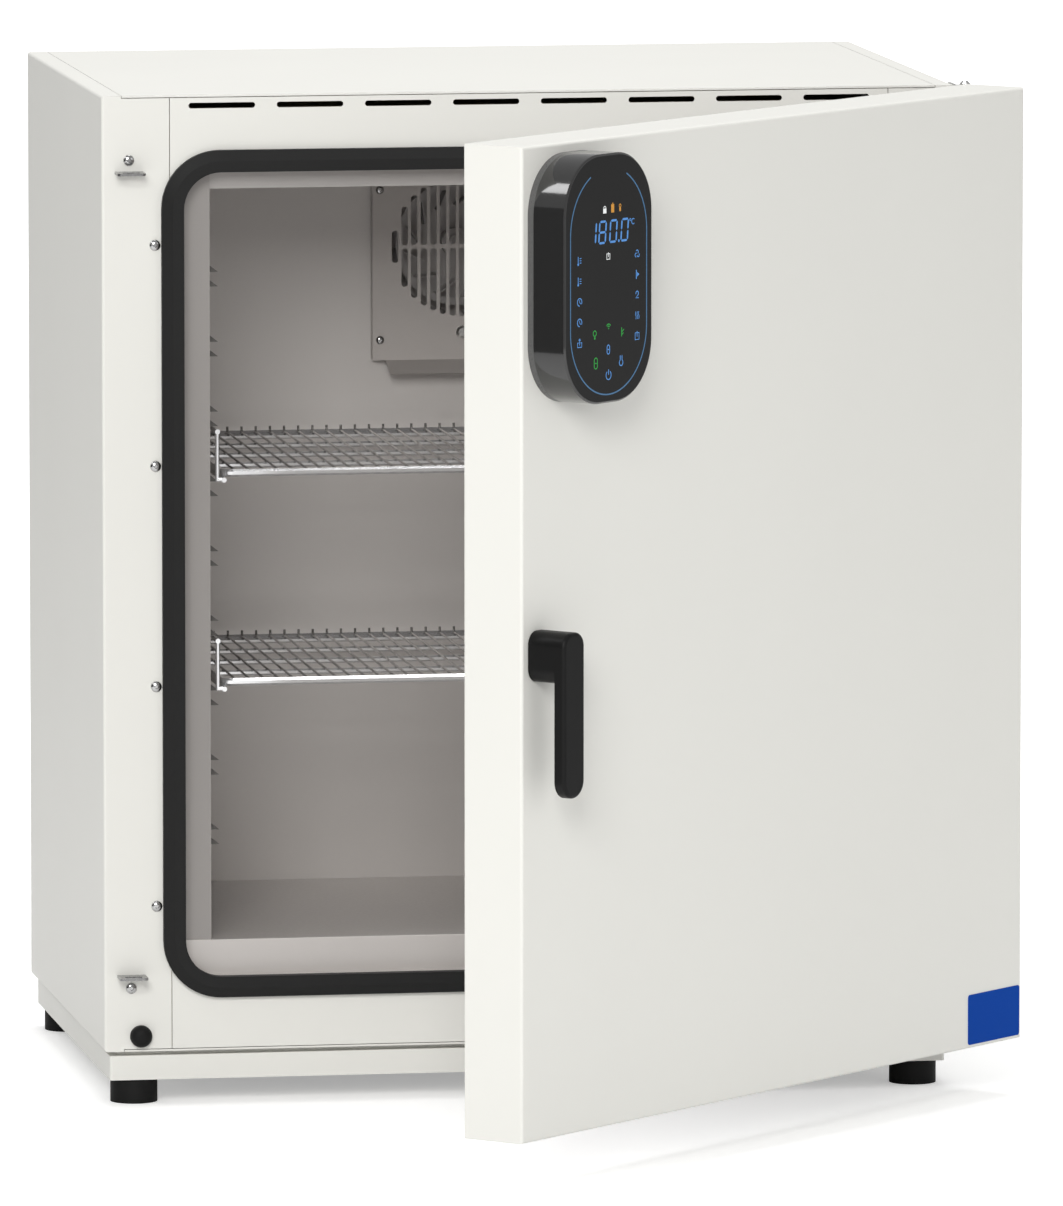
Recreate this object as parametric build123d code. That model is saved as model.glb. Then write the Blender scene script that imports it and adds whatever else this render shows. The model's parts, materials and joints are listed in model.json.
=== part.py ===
from build123d import *
import math
import os

# A bench drying oven, in millimetres. The origin is the centre of the four feet, on the floor.
# +X is to the right seen from the front, +Y runs back into the oven and +Z is up.

# Feet and base tray
FOOT_D = 38.5
FOOT_H = 20.0
FOOT_IN_X = 27.5
FOOT_IN_Y = 27.0
FOOT_EDGE = 1.5
STUD_D = 8.0
STUD_SINK = 8.0
NUT_AF = 13.0
NUT_H = 6.5
STUD_OVER = 3.0
TRAY_H = 20.0
TRAY_INSET = 5.0
TRAY_LEDGE = 24.0
RECESS_H = 4.0
RECESS_INSET = 12.0
RECESS_WALL = 10.0

# Outer casing, folded from painted sheet
CASE_W = 700.0
CASE_D = 462.0
CASE_H = 778.0
SHEET = 1.5
BEND_R = 2.5
FRAME_RIM = 10.1
TOP_FLANGE = 16.0
REAR_FLANGE = 20.0
SEAM = 0.6
VENT_COUNT = 8
VENT_MARGIN = 15.2
VENT_BRIDGE = 17.6
VENT_H = 4.6
VENT_DROP = 8.5

# Chamber, folded from stainless sheet
LINER_T = 1.2
CHAMBER_SIDE = 65.7
CHAMBER_LIFT = 61.0
CHAMBER_TOP = 62.0
CHAMBER_REAR = 102.0
LINER_FLANGE = 10.0
SET_BACK = 11.0
FLOOR_RISE = 28.0
CEILING_DROP = 15.0
DUCT_W = 23.8

# Door seal, a moulded silicone frame
SEAL_W = 17.5
SEAL_H = 9.7
SEAL_INNER_R = 30.0
SEAL_FLAT = 9.0
SEAL_SLOPE = 4.7

# Pressed lugs on the rack panels
LUG_LEVELS = 9
LUG_FIRST = 116.3
LUG_LAST = 83.5
LUG_PAIR = 11.9
LUG_OUT = 8.3
LUG_H = 6.5
LUG_L = 16.0
LUG_FRONT = 13.0
LUG_REAR = 50.0
LUG_SHEET = 1.0
LUG_TIP = 2.2

# Wire shelves and the wire runners that carry them
SHELF_LEVELS = (2, 5)
SHELF_NAMES = ("lower", "upper")
SHELF_RISE = 6.7
SHELF_FRONT = 25.0
SHELF_BACK = 38.0
SHELF_BENDS = 8.0
ROD_D = 6.0
CROSS_D = 4.5
CROSS_COUNT = 4
CROSS_END = 9.0
CROSS_DROP = 1.4
WELD_SINK = 1.0
WIRE_D = 2.0
WIRE_PITCH = 11.9
WIRE_TIP = 5.0
RUNNER_D = 4.0
HANGER_D = 3.4
RUNNER_UNDER = 5.7
RUNNER_FRONT = 20.0
RUNNER_END = 56.0
RUNNER_OUT = 5.3
RUNNER_PEG = 40.0
RUN_GAP = 0.05
ROD_TO_LUG = 0.9
ROD_SIDES = 8
WIRE_SIDES = 6

# Fan, its pocket in the rear wall and its cover
FAN_DROP = 95.8
FAN_D = 104.0
FAN_W = 20.0
FAN_EYE_D = 62.0
FAN_BLADES = 12
BLADE_T = 1.2
BLADE_LEAN = 24.0
BLADE_EDGE = 1.5
FAN_RING_W = 6.0
HUB_D = 24.0
HUB_L = 14.0
SHAFT_D = 8.0
SHAFT_NUT_D = 12.8
SHAFT_NUT_L = 4.5
SHAFT_TIP = 6.0
SHAFT_IN_MOTOR = 12.0
SHAFT_ROOM = 4.0
POCKET_W = 132.0
POCKET_D = 40.0
POCKET_R = 10.0
FAN_GAP = 5.0
COVER_W = 151.0
COVER_H = 159.4
COVER_DROP = 15.0
COVER_D = 12.0
COVER_T = 1.0
COVER_SCREW_IN = 6.0
COVER_SCREW_EDGE = 17.0
COVER_SCREW_OVER = 2.0
GRILLE_R = 58.9
GRILLE_COLUMNS = 15
GRILLE_PITCH = 8.1
GRILLE_SLOT = 5.3
SLOT_CORNER = 0.28
GRILLE_WEB = 2.9
GRILLE_SHORT = 20.0
LIP_W = 130.0
LIP_DROP = 10.5
LIP_TAPER = 3.0
HEATER_R = 60.0
HEATER_D = 6.5
HEATER_GAP = 36.0
HEATER_BEND = 8.0
HEATER_LEAD = 5.0
PROBE_D = 10.6
PROBE_DROP = 72.0
PROBE_OUT = 3.0
PROBE_SHANK_D = 6.0
MOTOR_D = 76.0
MOTOR_GAP = 9.3
MOTOR_STAND = 10.0
MOTOR_EDGE = 4.0
BEARING_L = 16.0
BRACKET_W = 110.0
BRACKET_T = 2.0
BRACKET_R = 6.0
SPACER_D = 9.0
SPACER_IN = 10.0

# Exhaust duct and power inlet at the rear
DUCT_D = 50.0
DUCT_WALL = 1.5
DUCT_OUT = 30.0
DUCT_BESIDE = 84.0
DUCT_DROP = 70.0
COLLAR_W = 6.0
COLLAR_T = 2.0
INLET_W = 28.0
INLET_H = 20.0
INLET_IN = 110.0
INLET_LIFT = 76.0
INLET_DEPTH = 22.0
INLET_FLANGE_W = 10.0
INLET_FLANGE_H = 4.0
INLET_FLANGE_T = 2.5
INLET_WALL = 2.0
INLET_R = 3.0
SOCKET_DEPTH = 16.0
PRONG_W = 2.0
PRONG_H = 4.0
PRONG_IN = 2.0
PRONG_REACH = 7.0
BOARD_W = 150.0
BOARD_H = 180.0
BOARD_IN = 135.0
BOARD_LIFT = 256.0
BOARD_T = 1.6
BOARD_STAND = 8.0
BOARD_POST_D = 6.0
BOARD_POST_IN = 8.0
RELAY = (45.0, 24.0, 50.0)
SINK = (45.0, 18.0, 40.0)
TERMINAL = (40.0, 12.0, 15.0)
LOUVRE_ROWS = 5
LOUVRE_L = 90.0
LOUVRE_H = 4.0
LOUVRE_PITCH = 12.0

# Insulation between chamber and casing
WOOL_GAP = 1.0
WOOL_REAR = 38.0
WOOL_TOP = 15.0
WOOL_BESIDE = 12.0
WOOL_ROUND = 3.0

# Door
DOOR_SHORT = 0.5
DOOR_T = 55.5
DOOR_LIFT = 1.6
DOOR_GAP = 10.0
DOOR_SHEET = 1.5
DOOR_EDGE_R = 2.5
DOOR_OVERHANG = 2.5
DOOR_OPEN = 45.2
PLUG_RISE = 6.0
PLUG_MARGIN = 14.0
PLUG_R = 22.0
INNER_T = 1.2
LOCK_CHANNEL = 48.0

# Hinges, on the right
HINGE_OUT = 7.5
HINGE_FORWARD = 4.0
HINGE_R = 5.0
HINGE_PIN_D = 6.0
HINGE_LEAF = 2.0
HINGE_LEAF_L = 34.0
HINGE_H = 64.0
HINGE_KNUCKLE = 20.0
HINGE_GAP = 0.3
HINGE_EDGE = 42.0
HINGE_CORNER = 5.0
HINGE_SET = 1.0
HINGE_ARM = 4.0
PIN_HEAD_D = 8.6
PIN_HEAD_H = 3.6

# Two-point lock
LOCK_IN = 21.5
KEEPER_W = 23.0
KEEPER_OUT = 21.0
KEEPER_T = 2.0
KEEPER_SLOT_W = 14.0
KEEPER_SLOT_D = 8.0
KEEPER_EDGE = 62.0
KEEPER_CORNER = 3.0
KEEPER_BASE = 9.0
KEEPER_SCREW = 10.0
SLOT_CLEAR = 2.5
BOLT_W = 12.0
BOLT_T = 5.0
BOLT_STROKE = 14.0
BOLT_TIP_GAP = 3.0
BOLT_FACE = 3.0
YOKE_PIN_D = 5.0
YOKE_CLEAR = 0.45
YOKE_WALL = 3.0
YOKE_SPLIT = 2.0
YOKE_SHOULDER = 3.0
YOKE_PIN_SHORT = 0.5
FOLLOWER_R = 15.0
FOLLOWER_T = 4.0
FOLLOWER_GAP = 0.5
SPINDLE_D = 10.0
LOCK_PLATE_GAP = 6.0
LOCK_PLATE_T = 2.0
LOCK_PLATE_H = 92.0
LOCK_PLATE_SIDE = 4.0
LOCK_FOOT = 9.0
LOCK_SLIDE = 3.0
LOCK_BOSS_W = 4.0
LOCK_BOSS_L = 4.0
GUIDE_H = 14.0
GUIDE_WALL = 2.0
GUIDE_EAR = 5.0
GUIDE_EAR_T = 1.5
GUIDE_SHARES = (0.3, 0.88)
GUIDE_PLAY = 0.1
SPINDLE_PLAY = 0.05
BUSH_W = 2.0
BUSH_FLANGE_W = 6.0
BUSH_FLANGE_T = 4.0

# Handle
HANDLE_LIFT = 381.0
HANDLE_W = 28.0
HANDLE_T = 9.5
HANDLE_NECK = 25.0
HANDLE_NECK_H = 40.0
HANDLE_DROP = 109.5
HANDLE_R = 11.0
HANDLE_ROUND = 3.0
HANDLE_GAP = 0.5
SPINDLE_SHORT = 6.0

# Control unit on the door
POD_W = 118.0
POD_H = 194.0
POD_R = 47.0
POD_D = 35.0
POD_BASE = 5.5
POD_WALL = 3.0
POD_IN = 66.7
POD_DROP = 104.6
POD_EDGE = 1.2
GLASS_T = 2.0
GLASS_LIP = 1.2
GLASS_FIT = 0.1
POD_BOARD_T = 1.6
POD_BOARD_GAP = 6.0
POD_BOARD_IN = 1.0
POD_POST = 8.0
POD_POST_IN = 3.0
GLASS_SEAT = 2.0
SCREEN_W = 70.0
SCREEN_H = 28.0
SCREEN_UP = 0.18
SCREEN_GAP = 0.5
PLUG = (16.0, 6.0, 10.0)
CABLE_HOLE_D = 20.0
CABLE_ROOM = 9.5

# Small parts
SCREW_HEAD_D = 9.0
SCREW_HEAD_H = 2.8
SCREW_D = 4.0
SCREW_L = 9.0
SCREW_SIDES = 8
COVER_HEAD_D = 7.0
SCREW_TO_SEAL = 5.1
FRONT_SCREW_FIRST = 118.8
FRONT_SCREW_LAST = 121.0
FRONT_SCREWS = 4
REAR_SCREW_IN = 28.0
REAR_SCREW_SHARES = (0.05, 0.5, 0.95)
BUMPER_D = 18.0
BUMPER_IN = 29.8
BUMPER_LIFT = 12.6
BUMPER_GAP = 0.5

# Places that follow from the sizes above
FRONT = -CASE_D / 2
REAR = CASE_D / 2
CASE_Z0 = FOOT_H + TRAY_H + RECESS_H
CASE_Z1 = CASE_Z0 + CASE_H
FOOT_PITCH_X = CASE_W - 2 * FOOT_IN_X
FOOT_PITCH_Y = CASE_D - 2 * FOOT_IN_Y
CHAMBER_W = CASE_W - 2 * CHAMBER_SIDE
CHAMBER_H = CASE_H - CHAMBER_LIFT - CHAMBER_TOP
CHAMBER_D = CASE_D - CHAMBER_REAR
CHAMBER_Z0 = CASE_Z0 + CHAMBER_LIFT
CHAMBER_Z1 = CHAMBER_Z0 + CHAMBER_H
CHAMBER_BACK = FRONT + CHAMBER_D
FLOOR_Z = CHAMBER_Z0 + FLOOR_RISE
CEILING_Z = CHAMBER_Z1 - CEILING_DROP
RACK_X = CHAMBER_W / 2 - DUCT_W
FRAME_HALF = CHAMBER_W / 2 + FRAME_RIM
FRONT_FLANGE = CASE_W / 2 - FRAME_HALF - SEAM
VENT_L = (2 * (FRAME_HALF - VENT_MARGIN) - (VENT_COUNT - 1) * VENT_BRIDGE) / VENT_COUNT
LUG_PITCH = (CHAMBER_H - LUG_FIRST - LUG_LAST) / (LUG_LEVELS - 1)
SHELF_D = CHAMBER_D - SHELF_FRONT - SHELF_BACK
CROSS_PITCH = (SHELF_D - CROSS_END) / CROSS_COUNT
RUNNER_RISE = LUG_PITCH - LUG_PAIR - RUNNER_UNDER
FAN_Z = CHAMBER_Z1 - FAN_DROP
POCKET_BACK = CHAMBER_BACK + POCKET_D
MOTOR_Y = POCKET_BACK + LINER_T + MOTOR_STAND + BRACKET_T
MOTOR_L = REAR - SHEET - MOTOR_GAP - MOTOR_Y
DUCT_X = POCKET_W / 2 + DUCT_BESIDE
DUCT_Z = CHAMBER_Z1 - DUCT_DROP
INLET_X = CASE_W / 2 - INLET_IN
INLET_Z = CASE_Z0 + INLET_LIFT
BOARD_X = CASE_W / 2 - BOARD_IN
BOARD_Z = CASE_Z0 + BOARD_LIFT
HINGE_X = CASE_W / 2 + HINGE_OUT
HINGE_Y = FRONT - HINGE_FORWARD
DOOR_X1 = CASE_W / 2 + DOOR_OVERHANG
DOOR_X0 = -CASE_W / 2 + DOOR_SHORT
DOOR_W = DOOR_X1 - DOOR_X0
DOOR_BACK = FRONT - DOOR_GAP
DOOR_FRONT = DOOR_BACK - DOOR_T
DOOR_Z0 = CASE_Z0 + DOOR_LIFT
DOOR_H = CASE_H
DOOR_Z1 = DOOR_Z0 + DOOR_H
LOCK_X = DOOR_X0 + LOCK_IN
BOLT_Y1 = DOOR_BACK - BOLT_FACE
BOLT_Y0 = BOLT_Y1 - BOLT_T
FOLLOWER_Y1 = BOLT_Y0 - FOLLOWER_GAP
FOLLOWER_Y0 = FOLLOWER_Y1 - FOLLOWER_T
LOCK_PLATE_Y1 = FOLLOWER_Y0 - LOCK_PLATE_GAP
YOKE_R = BOLT_STROKE / math.sqrt(2)
HANDLE_Z = DOOR_Z0 + HANDLE_LIFT
POD_X = DOOR_X0 + POD_IN
POD_Z = DOOR_Z1 - POD_DROP


def box(x0, x1, y0, y1, z0, z1):
    """A box between two corners."""
    middle = ((x0 + x1) / 2, (y0 + y1) / 2, (z0 + z1) / 2)
    return Pos(*middle) * Box(x1 - x0, y1 - y0, z1 - z0)


def rod(start, end, diameter):
    """A round rod between two points."""
    run = Vector(*end) - Vector(*start)
    align = (Align.CENTER, Align.CENTER, Align.MIN)
    return Plane(origin=start, z_dir=run) * Cylinder(diameter / 2, run.length, align=align)


def octagon(diameter):
    """An eight-sided section whose flats are the given distance apart and lie square."""
    return RegularPolygon(diameter / 2, ROD_SIDES, major_radius=False, rotation=180 / ROD_SIDES)


def level_bar(start, end, diameter):
    """A level eight-sided bar between two points, with flats on top and underneath."""
    run = Vector(*end) - Vector(*start)
    return extrude(Plane(origin=start, x_dir=(0, 0, 1), z_dir=run) * octagon(diameter), run.length)


def mitred_bar(section, points):
    """A bar of the given section along three points, with a mitred corner at the second."""
    first, corner, last = (Vector(*point) for point in points)
    across = (corner - first).cross(last - corner)
    start = Plane(origin=first, x_dir=across, z_dir=corner - first)
    return sweep(start * section, path=Polyline(*points), transition=Transition.RIGHT)


def facing(y):
    """A drawing plane that faces the front: sketch x is X and sketch y is Z."""
    return Plane(origin=(0, y, 0), x_dir=(1, 0, 0), z_dir=(0, -1, 0))


def slab(sketch, y0, y1):
    """A front-facing sketch made solid from y0 back to y1."""
    return extrude(facing(y1) * sketch, amount=y1 - y0)


def disc(x, z, diameter, y0, y1):
    """A round solid that runs along Y."""
    return slab(Pos(x, z) * Circle(diameter / 2), y0, y1)


def mirrored(shape):
    """The same piece on the other side of the oven."""
    return mirror(shape, about=Plane.YZ)


def screw_section(x, z, diameter=SCREW_D):
    """The plain eight-sided section of a screw's shank or head."""
    return Pos(x, z) * RegularPolygon(diameter / 2, SCREW_SIDES)


def screw(x, z, y, out=-1, head_d=SCREW_HEAD_D, length=SCREW_L):
    """A screw whose head sits on the plane y and points out along Y by the sign."""
    head = slab(screw_section(x, z, head_d), *sorted((y, y + out * SCREW_HEAD_H)))
    return head + slab(screw_section(x, z), *sorted((y, y - out * length)))


def screw_hole(x, z, y0, y1):
    """The hole that a screw's shank fills."""
    return slab(screw_section(x, z), y0, y1)


def cut_slot(x, z, width, length):
    """A slot with cut corners, as a front-facing sketch."""
    slot = Rectangle(width, length)
    return Pos(x, z) * chamfer(slot.vertices(), min(width, length) * SLOT_CORNER)


def door_pose(shape):
    """Moves a piece from the closed door to the door as it stands at rest, part open."""
    to_axis = Pos(HINGE_X, HINGE_Y, 0)
    return to_axis * Rot(0, 0, DOOR_OPEN) * to_axis.inverse() * shape


def foot_places():
    """The four places of the feet."""
    return [
        (sx * FOOT_PITCH_X / 2, sy * FOOT_PITCH_Y / 2)
        for sx in (-1, 1)
        for sy in (-1, 1)
    ]


def keeper_places():
    """The height of each keeper's tab, with the side on which its screw sits."""
    return [(CASE_Z1 - KEEPER_EDGE, 1), (CASE_Z0 + KEEPER_EDGE, -1)]


def front_screw_places():
    """The screws down each side of the front."""
    x = CHAMBER_W / 2 + SEAL_W + SCREW_TO_SEAL
    pitch = (CASE_H - FRONT_SCREW_FIRST - FRONT_SCREW_LAST) / (FRONT_SCREWS - 1)
    heights = [CASE_Z0 + FRONT_SCREW_FIRST + i * pitch for i in range(FRONT_SCREWS)]
    return [(side * x, z) for side in (-1, 1) for z in heights]


def keeper_screw_places():
    """The screw that holds each keeper."""
    return [(LOCK_X, z + sign * KEEPER_SCREW) for z, sign in keeper_places()]


def cover_screw_places():
    """The screws of the fan cover, down both sides."""
    x = COVER_W / 2 - COVER_SCREW_IN
    z = FAN_Z - COVER_DROP
    reach = COVER_H / 2 - COVER_SCREW_EDGE
    return [(sx * x, z + sz * reach) for sx in (-1, 1) for sz in (-1, 1)]


def rear_screw_places():
    """The screws round the rear panel."""
    x = CASE_W / 2 - REAR_SCREW_IN
    return [
        (side * x, CASE_Z0 + share * CASE_H) for side in (-1, 1) for share in REAR_SCREW_SHARES
    ]


def rubber_feet():
    """Four round rubber feet, each moulded round the head of its stud."""
    feet = []
    for x, y in foot_places():
        foot = Pos(x, y, FOOT_H / 2) * Cylinder(FOOT_D / 2, FOOT_H)
        foot = chamfer(foot.edges().sort_by(Axis.Z)[-1], FOOT_EDGE)
        feet.append(foot - rod((x, y, FOOT_H - STUD_SINK), (x, y, FOOT_H), STUD_D))
    return Compound(feet)


def foot_studs():
    """The stud of each foot with its nut above the tray's floor."""
    studs = []
    nut_z = FOOT_H + SHEET
    for x, y in foot_places():
        stud = rod((x, y, FOOT_H - STUD_SINK), (x, y, nut_z + NUT_H + STUD_OVER), STUD_D)
        nut = extrude(RegularPolygon(NUT_AF / 2, 6, major_radius=False), NUT_H)
        studs.append(stud + Pos(x, y, nut_z) * nut)
    return Compound(studs)


def base_tray():
    """A shallow folded tray under the casing, with a set-back strip that makes the shadow gap."""
    half_w = CASE_W / 2 - TRAY_INSET
    half_d = CASE_D / 2 - TRAY_INSET
    top = FOOT_H + TRAY_H
    tray = box(-half_w, half_w, -half_d, half_d, FOOT_H, top)
    tray = fillet(tray.edges().filter_by(Axis.Z), BEND_R)
    inner_w = half_w - SHEET
    inner_d = half_d - SHEET
    tray -= box(-inner_w, inner_w, -inner_d, inner_d, FOOT_H + SHEET, top - SHEET)
    open_w = half_w - TRAY_LEDGE
    open_d = half_d - TRAY_LEDGE
    tray -= box(-open_w, open_w, -open_d, open_d, top - SHEET, top)
    ring_w = CASE_W / 2 - RECESS_INSET
    ring_d = CASE_D / 2 - RECESS_INSET
    ring = box(-ring_w, ring_w, -ring_d, ring_d, top, CASE_Z0)
    ring_w -= RECESS_WALL
    ring_d -= RECESS_WALL
    ring -= box(-ring_w, ring_w, -ring_d, ring_d, top, CASE_Z0)
    tray += ring
    for x, y in foot_places():
        tray -= rod((x, y, FOOT_H), (x, y, FOOT_H + SHEET), STUD_D)
    return tray


def side_panel():
    """The left side panel, one folded sheet with flanges at the front, rear, top and bottom."""
    x0 = -CASE_W / 2
    x1 = x0 + FRONT_FLANGE
    panel = box(x0, x1, FRONT, REAR, CASE_Z0, CASE_Z1)
    panel = fillet(panel.faces().sort_by(Axis.X)[0].edges(), BEND_R)
    inner_y = (FRONT + SHEET, REAR - SHEET)
    panel -= box(x0 + SHEET, x1, *inner_y, CASE_Z0 + SHEET, CASE_Z1 - SHEET)
    short = x0 + TOP_FLANGE
    panel -= box(short, x1, FRONT, REAR, CASE_Z0, CASE_Z0 + SHEET + SEAM)
    panel -= box(short, x1, FRONT, REAR, CASE_Z1 - SHEET - SEAM, CASE_Z1)
    panel -= box(x0 + REAR_FLANGE, x1, REAR - SHEET, REAR, CASE_Z0, CASE_Z1)
    return panel


def left_side_panel():
    """The left side panel with the holes of its screws and keepers."""
    panel = side_panel()
    for x, z in front_screw_places() + keeper_screw_places():
        if x < 0:
            panel -= screw_hole(x, z, FRONT, FRONT + SHEET)
    for z, _ in keeper_places():
        half = KEEPER_W / 2
        tab = (z - KEEPER_T / 2, z + KEEPER_T / 2)
        panel -= box(LOCK_X - half, LOCK_X + half, FRONT, FRONT + SHEET, *tab)
    return panel


def right_side_panel():
    """The right side panel with the holes of its screws."""
    panel = mirrored(side_panel())
    for x, z in front_screw_places():
        if x > 0:
            panel -= screw_hole(x, z, FRONT, FRONT + SHEET)
    return panel


def cover_sheet(z0, z1):
    """A flat sheet that closes the casing between the side panels' flanges."""
    half = CASE_W / 2 - TOP_FLANGE - SEAM
    return box(-half, half, FRONT, REAR, z0, z1)


def top_panel():
    """The top sheet, with a short lip folded down inside the rear panel."""
    sheet = cover_sheet(CASE_Z1 - SHEET, CASE_Z1)
    half = CASE_W / 2 - TOP_FLANGE - SEAM
    lip_y = REAR - SHEET
    return sheet + box(-half, half, lip_y - SHEET, lip_y, CASE_Z1 - TOP_FLANGE, CASE_Z1 - SHEET)


def bottom_panel():
    """The bottom sheet, which stands on the base tray."""
    return cover_sheet(CASE_Z0, CASE_Z0 + SHEET)


def rear_panel():
    """The rear sheet with its louvres and the holes for the duct and the power inlet."""
    half = CASE_W / 2 - REAR_FLANGE - SEAM
    z0 = CASE_Z0 + SHEET + SEAM
    z1 = CASE_Z1 - SHEET - SEAM
    middle = (z0 + z1) / 2
    sketch = Pos(0, middle) * Rectangle(2 * half, z1 - z0)
    sketch -= Pos(DUCT_X, DUCT_Z) * Circle(DUCT_D / 2)
    sketch -= Pos(INLET_X, INLET_Z) * Rectangle(INLET_W, INLET_H)
    for x, z in rear_screw_places():
        sketch -= screw_section(x, z)
    for row in range(LOUVRE_ROWS):
        z = FAN_Z + (row - (LOUVRE_ROWS - 1) / 2) * LOUVRE_PITCH
        sketch -= cut_slot(0, z, LOUVRE_L, LOUVRE_H)
    return slab(sketch, REAR - SHEET, REAR)


def front_frame():
    """The front sheet round the chamber's mouth, with a row of air slots along its top."""
    z0 = CASE_Z0 + SHEET + SEAM
    z1 = CASE_Z1 - SHEET - SEAM
    sketch = Pos(0, (z0 + z1) / 2) * Rectangle(2 * FRAME_HALF, z1 - z0)
    mouth = RectangleRounded(CHAMBER_W, CHAMBER_H, SEAL_INNER_R)
    sketch -= Pos(0, (CHAMBER_Z0 + CHAMBER_Z1) / 2) * mouth
    for i in range(VENT_COUNT):
        x = (i - (VENT_COUNT - 1) / 2) * (VENT_L + VENT_BRIDGE)
        sketch -= Pos(x, CASE_Z1 - VENT_DROP) * SlotOverall(VENT_L, VENT_H)
    return slab(sketch, FRONT, FRONT + SHEET)


def door_seal():
    """The seal round the mouth: its inner half is flat and its outer half slopes to the front."""
    middle = (CHAMBER_Z0 + CHAMBER_Z1) / 2
    outer_size = (CHAMBER_W + 2 * SEAL_W, CHAMBER_H + 2 * SEAL_W)
    outer = Pos(0, middle) * RectangleRounded(*outer_size, SEAL_INNER_R + SEAL_W)
    inner = Pos(0, middle) * RectangleRounded(CHAMBER_W, CHAMBER_H, SEAL_INNER_R)
    ring = slab(outer, FRONT - SEAL_H, FRONT)
    rim = ring.faces().sort_by(Axis.Y)[0].edges()
    front = ring.faces().sort_by(Axis.Y)[0]
    ring = chamfer(rim, SEAL_W - SEAL_FLAT, SEAL_SLOPE, reference=front)
    return ring - slab(inner, FRONT - SEAL_H, FRONT)


def chamber_liner():
    """The welded inner chamber: five walls, a front flange and the pocket of the fan."""
    half = CHAMBER_W / 2
    t = LINER_T
    y0 = FRONT + SHEET
    liner = box(-half - t, half + t, y0, CHAMBER_BACK + t, CHAMBER_Z0 - t, CHAMBER_Z1 + t)
    rim = LINER_FLANGE
    liner += box(-half - rim, half + rim, y0, y0 + t, CHAMBER_Z0 - rim, CHAMBER_Z1 + rim)
    liner -= box(-half, half, FRONT, CHAMBER_BACK, CHAMBER_Z0, CHAMBER_Z1)
    outer = Pos(0, FAN_Z) * RectangleRounded(POCKET_W + 2 * t, POCKET_W + 2 * t, POCKET_R + t)
    inner = Pos(0, FAN_Z) * RectangleRounded(POCKET_W, POCKET_W, POCKET_R)
    liner += slab(outer, CHAMBER_BACK, POCKET_BACK + t)
    liner -= slab(inner, CHAMBER_BACK, POCKET_BACK)
    liner -= disc(0, FAN_Z, SHAFT_D + SHAFT_ROOM, POCKET_BACK, POCKET_BACK + t)
    liner -= disc(DUCT_X, DUCT_Z, DUCT_D, CHAMBER_BACK, CHAMBER_BACK + t)
    liner -= disc(0, FAN_Z - PROBE_DROP, PROBE_SHANK_D, CHAMBER_BACK, CHAMBER_BACK + t)
    for x, z in cover_screw_places():
        liner -= screw_hole(x, z, CHAMBER_BACK, CHAMBER_BACK + t)
    for x, z in heater_leads():
        liner -= disc(x, z, HEATER_D, POCKET_BACK, POCKET_BACK + t)
    return liner


def floor_panel():
    """The loose chamber floor with a lip folded down at the front and rear."""
    half = CHAMBER_W / 2
    t = LINER_T
    y0 = FRONT + SET_BACK
    panel = box(-half, half, y0, CHAMBER_BACK, FLOOR_Z - t, FLOOR_Z)
    panel += box(-half, half, y0, y0 + t, CHAMBER_Z0, FLOOR_Z)
    panel += box(-half, half, CHAMBER_BACK - t, CHAMBER_BACK, CHAMBER_Z0, FLOOR_Z)
    return fillet(panel.edges().filter_by(Axis.X).sort_by(Axis.Z)[-2:], t * 0.8)


def ceiling_panel():
    """The chamber ceiling between the rack panels, hung by a flange folded up at the front."""
    t = LINER_T
    half = RACK_X
    y0 = FRONT + SET_BACK + 2 * t
    panel = box(-half, half, y0, CHAMBER_BACK, CEILING_Z, CEILING_Z + t)
    panel += box(-half, half, y0, y0 + t, CEILING_Z, CHAMBER_Z1)
    return panel


def lug(z, y):
    """One pressed lug on the left rack panel: a hood of thin sheet, open underneath."""
    x = -RACK_X
    outer = make_face(Polyline((x, z), (x + LUG_OUT, z), (x, z + LUG_H), close=True))
    wall = LUG_SHEET
    inner_h = LUG_H - 2 * wall
    inner_out = LUG_OUT - LUG_TIP * wall
    inner = make_face(Polyline((x, z), (x + inner_out, z), (x, z + inner_h), close=True))
    hood = slab(outer, y, y + LUG_L)
    return hood - slab(inner, y + wall, y + LUG_L - wall)


def rack_panel():
    """The left rack panel: a folded wall with a front strip and nine levels of lug pairs."""
    t = LINER_T
    half = CHAMBER_W / 2
    y0 = FRONT + SET_BACK + t
    panel = box(-RACK_X - t, -RACK_X, y0, CHAMBER_BACK, FLOOR_Z, CHAMBER_Z1)
    panel += box(-half, -RACK_X, y0, y0 + t, FLOOR_Z, CHAMBER_Z1)
    panel += box(-half, -RACK_X, CHAMBER_BACK - t, CHAMBER_BACK, FLOOR_Z, CHAMBER_Z1)
    for i in range(LUG_LEVELS):
        top = CHAMBER_Z0 + LUG_FIRST + i * LUG_PITCH
        for z in (top, top - LUG_PAIR):
            panel += lug(z, FRONT + SET_BACK + LUG_FRONT)
            panel += lug(z, CHAMBER_BACK - LUG_REAR)
    for level in SHELF_LEVELS:
        for start in runner_pegs(level):
            inside = (-RACK_X, start[1], start[2])
            panel -= level_bar(start, inside, HANGER_D)
    return panel


def shelf_z(level):
    """The height of the centre of a shelf's frame rod."""
    return CHAMBER_Z0 + LUG_FIRST + level * LUG_PITCH + SHELF_RISE


def shelf_half():
    """Half the distance between a shelf's side rods."""
    return RACK_X - LUG_OUT - ROD_TO_LUG - ROD_D / 2


def runner_z(level):
    """The heights of a runner's lower and upper wires."""
    low = shelf_z(level) - ROD_D / 2 - RUNNER_D / 2 - RUN_GAP
    return low, low + RUNNER_RISE


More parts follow.
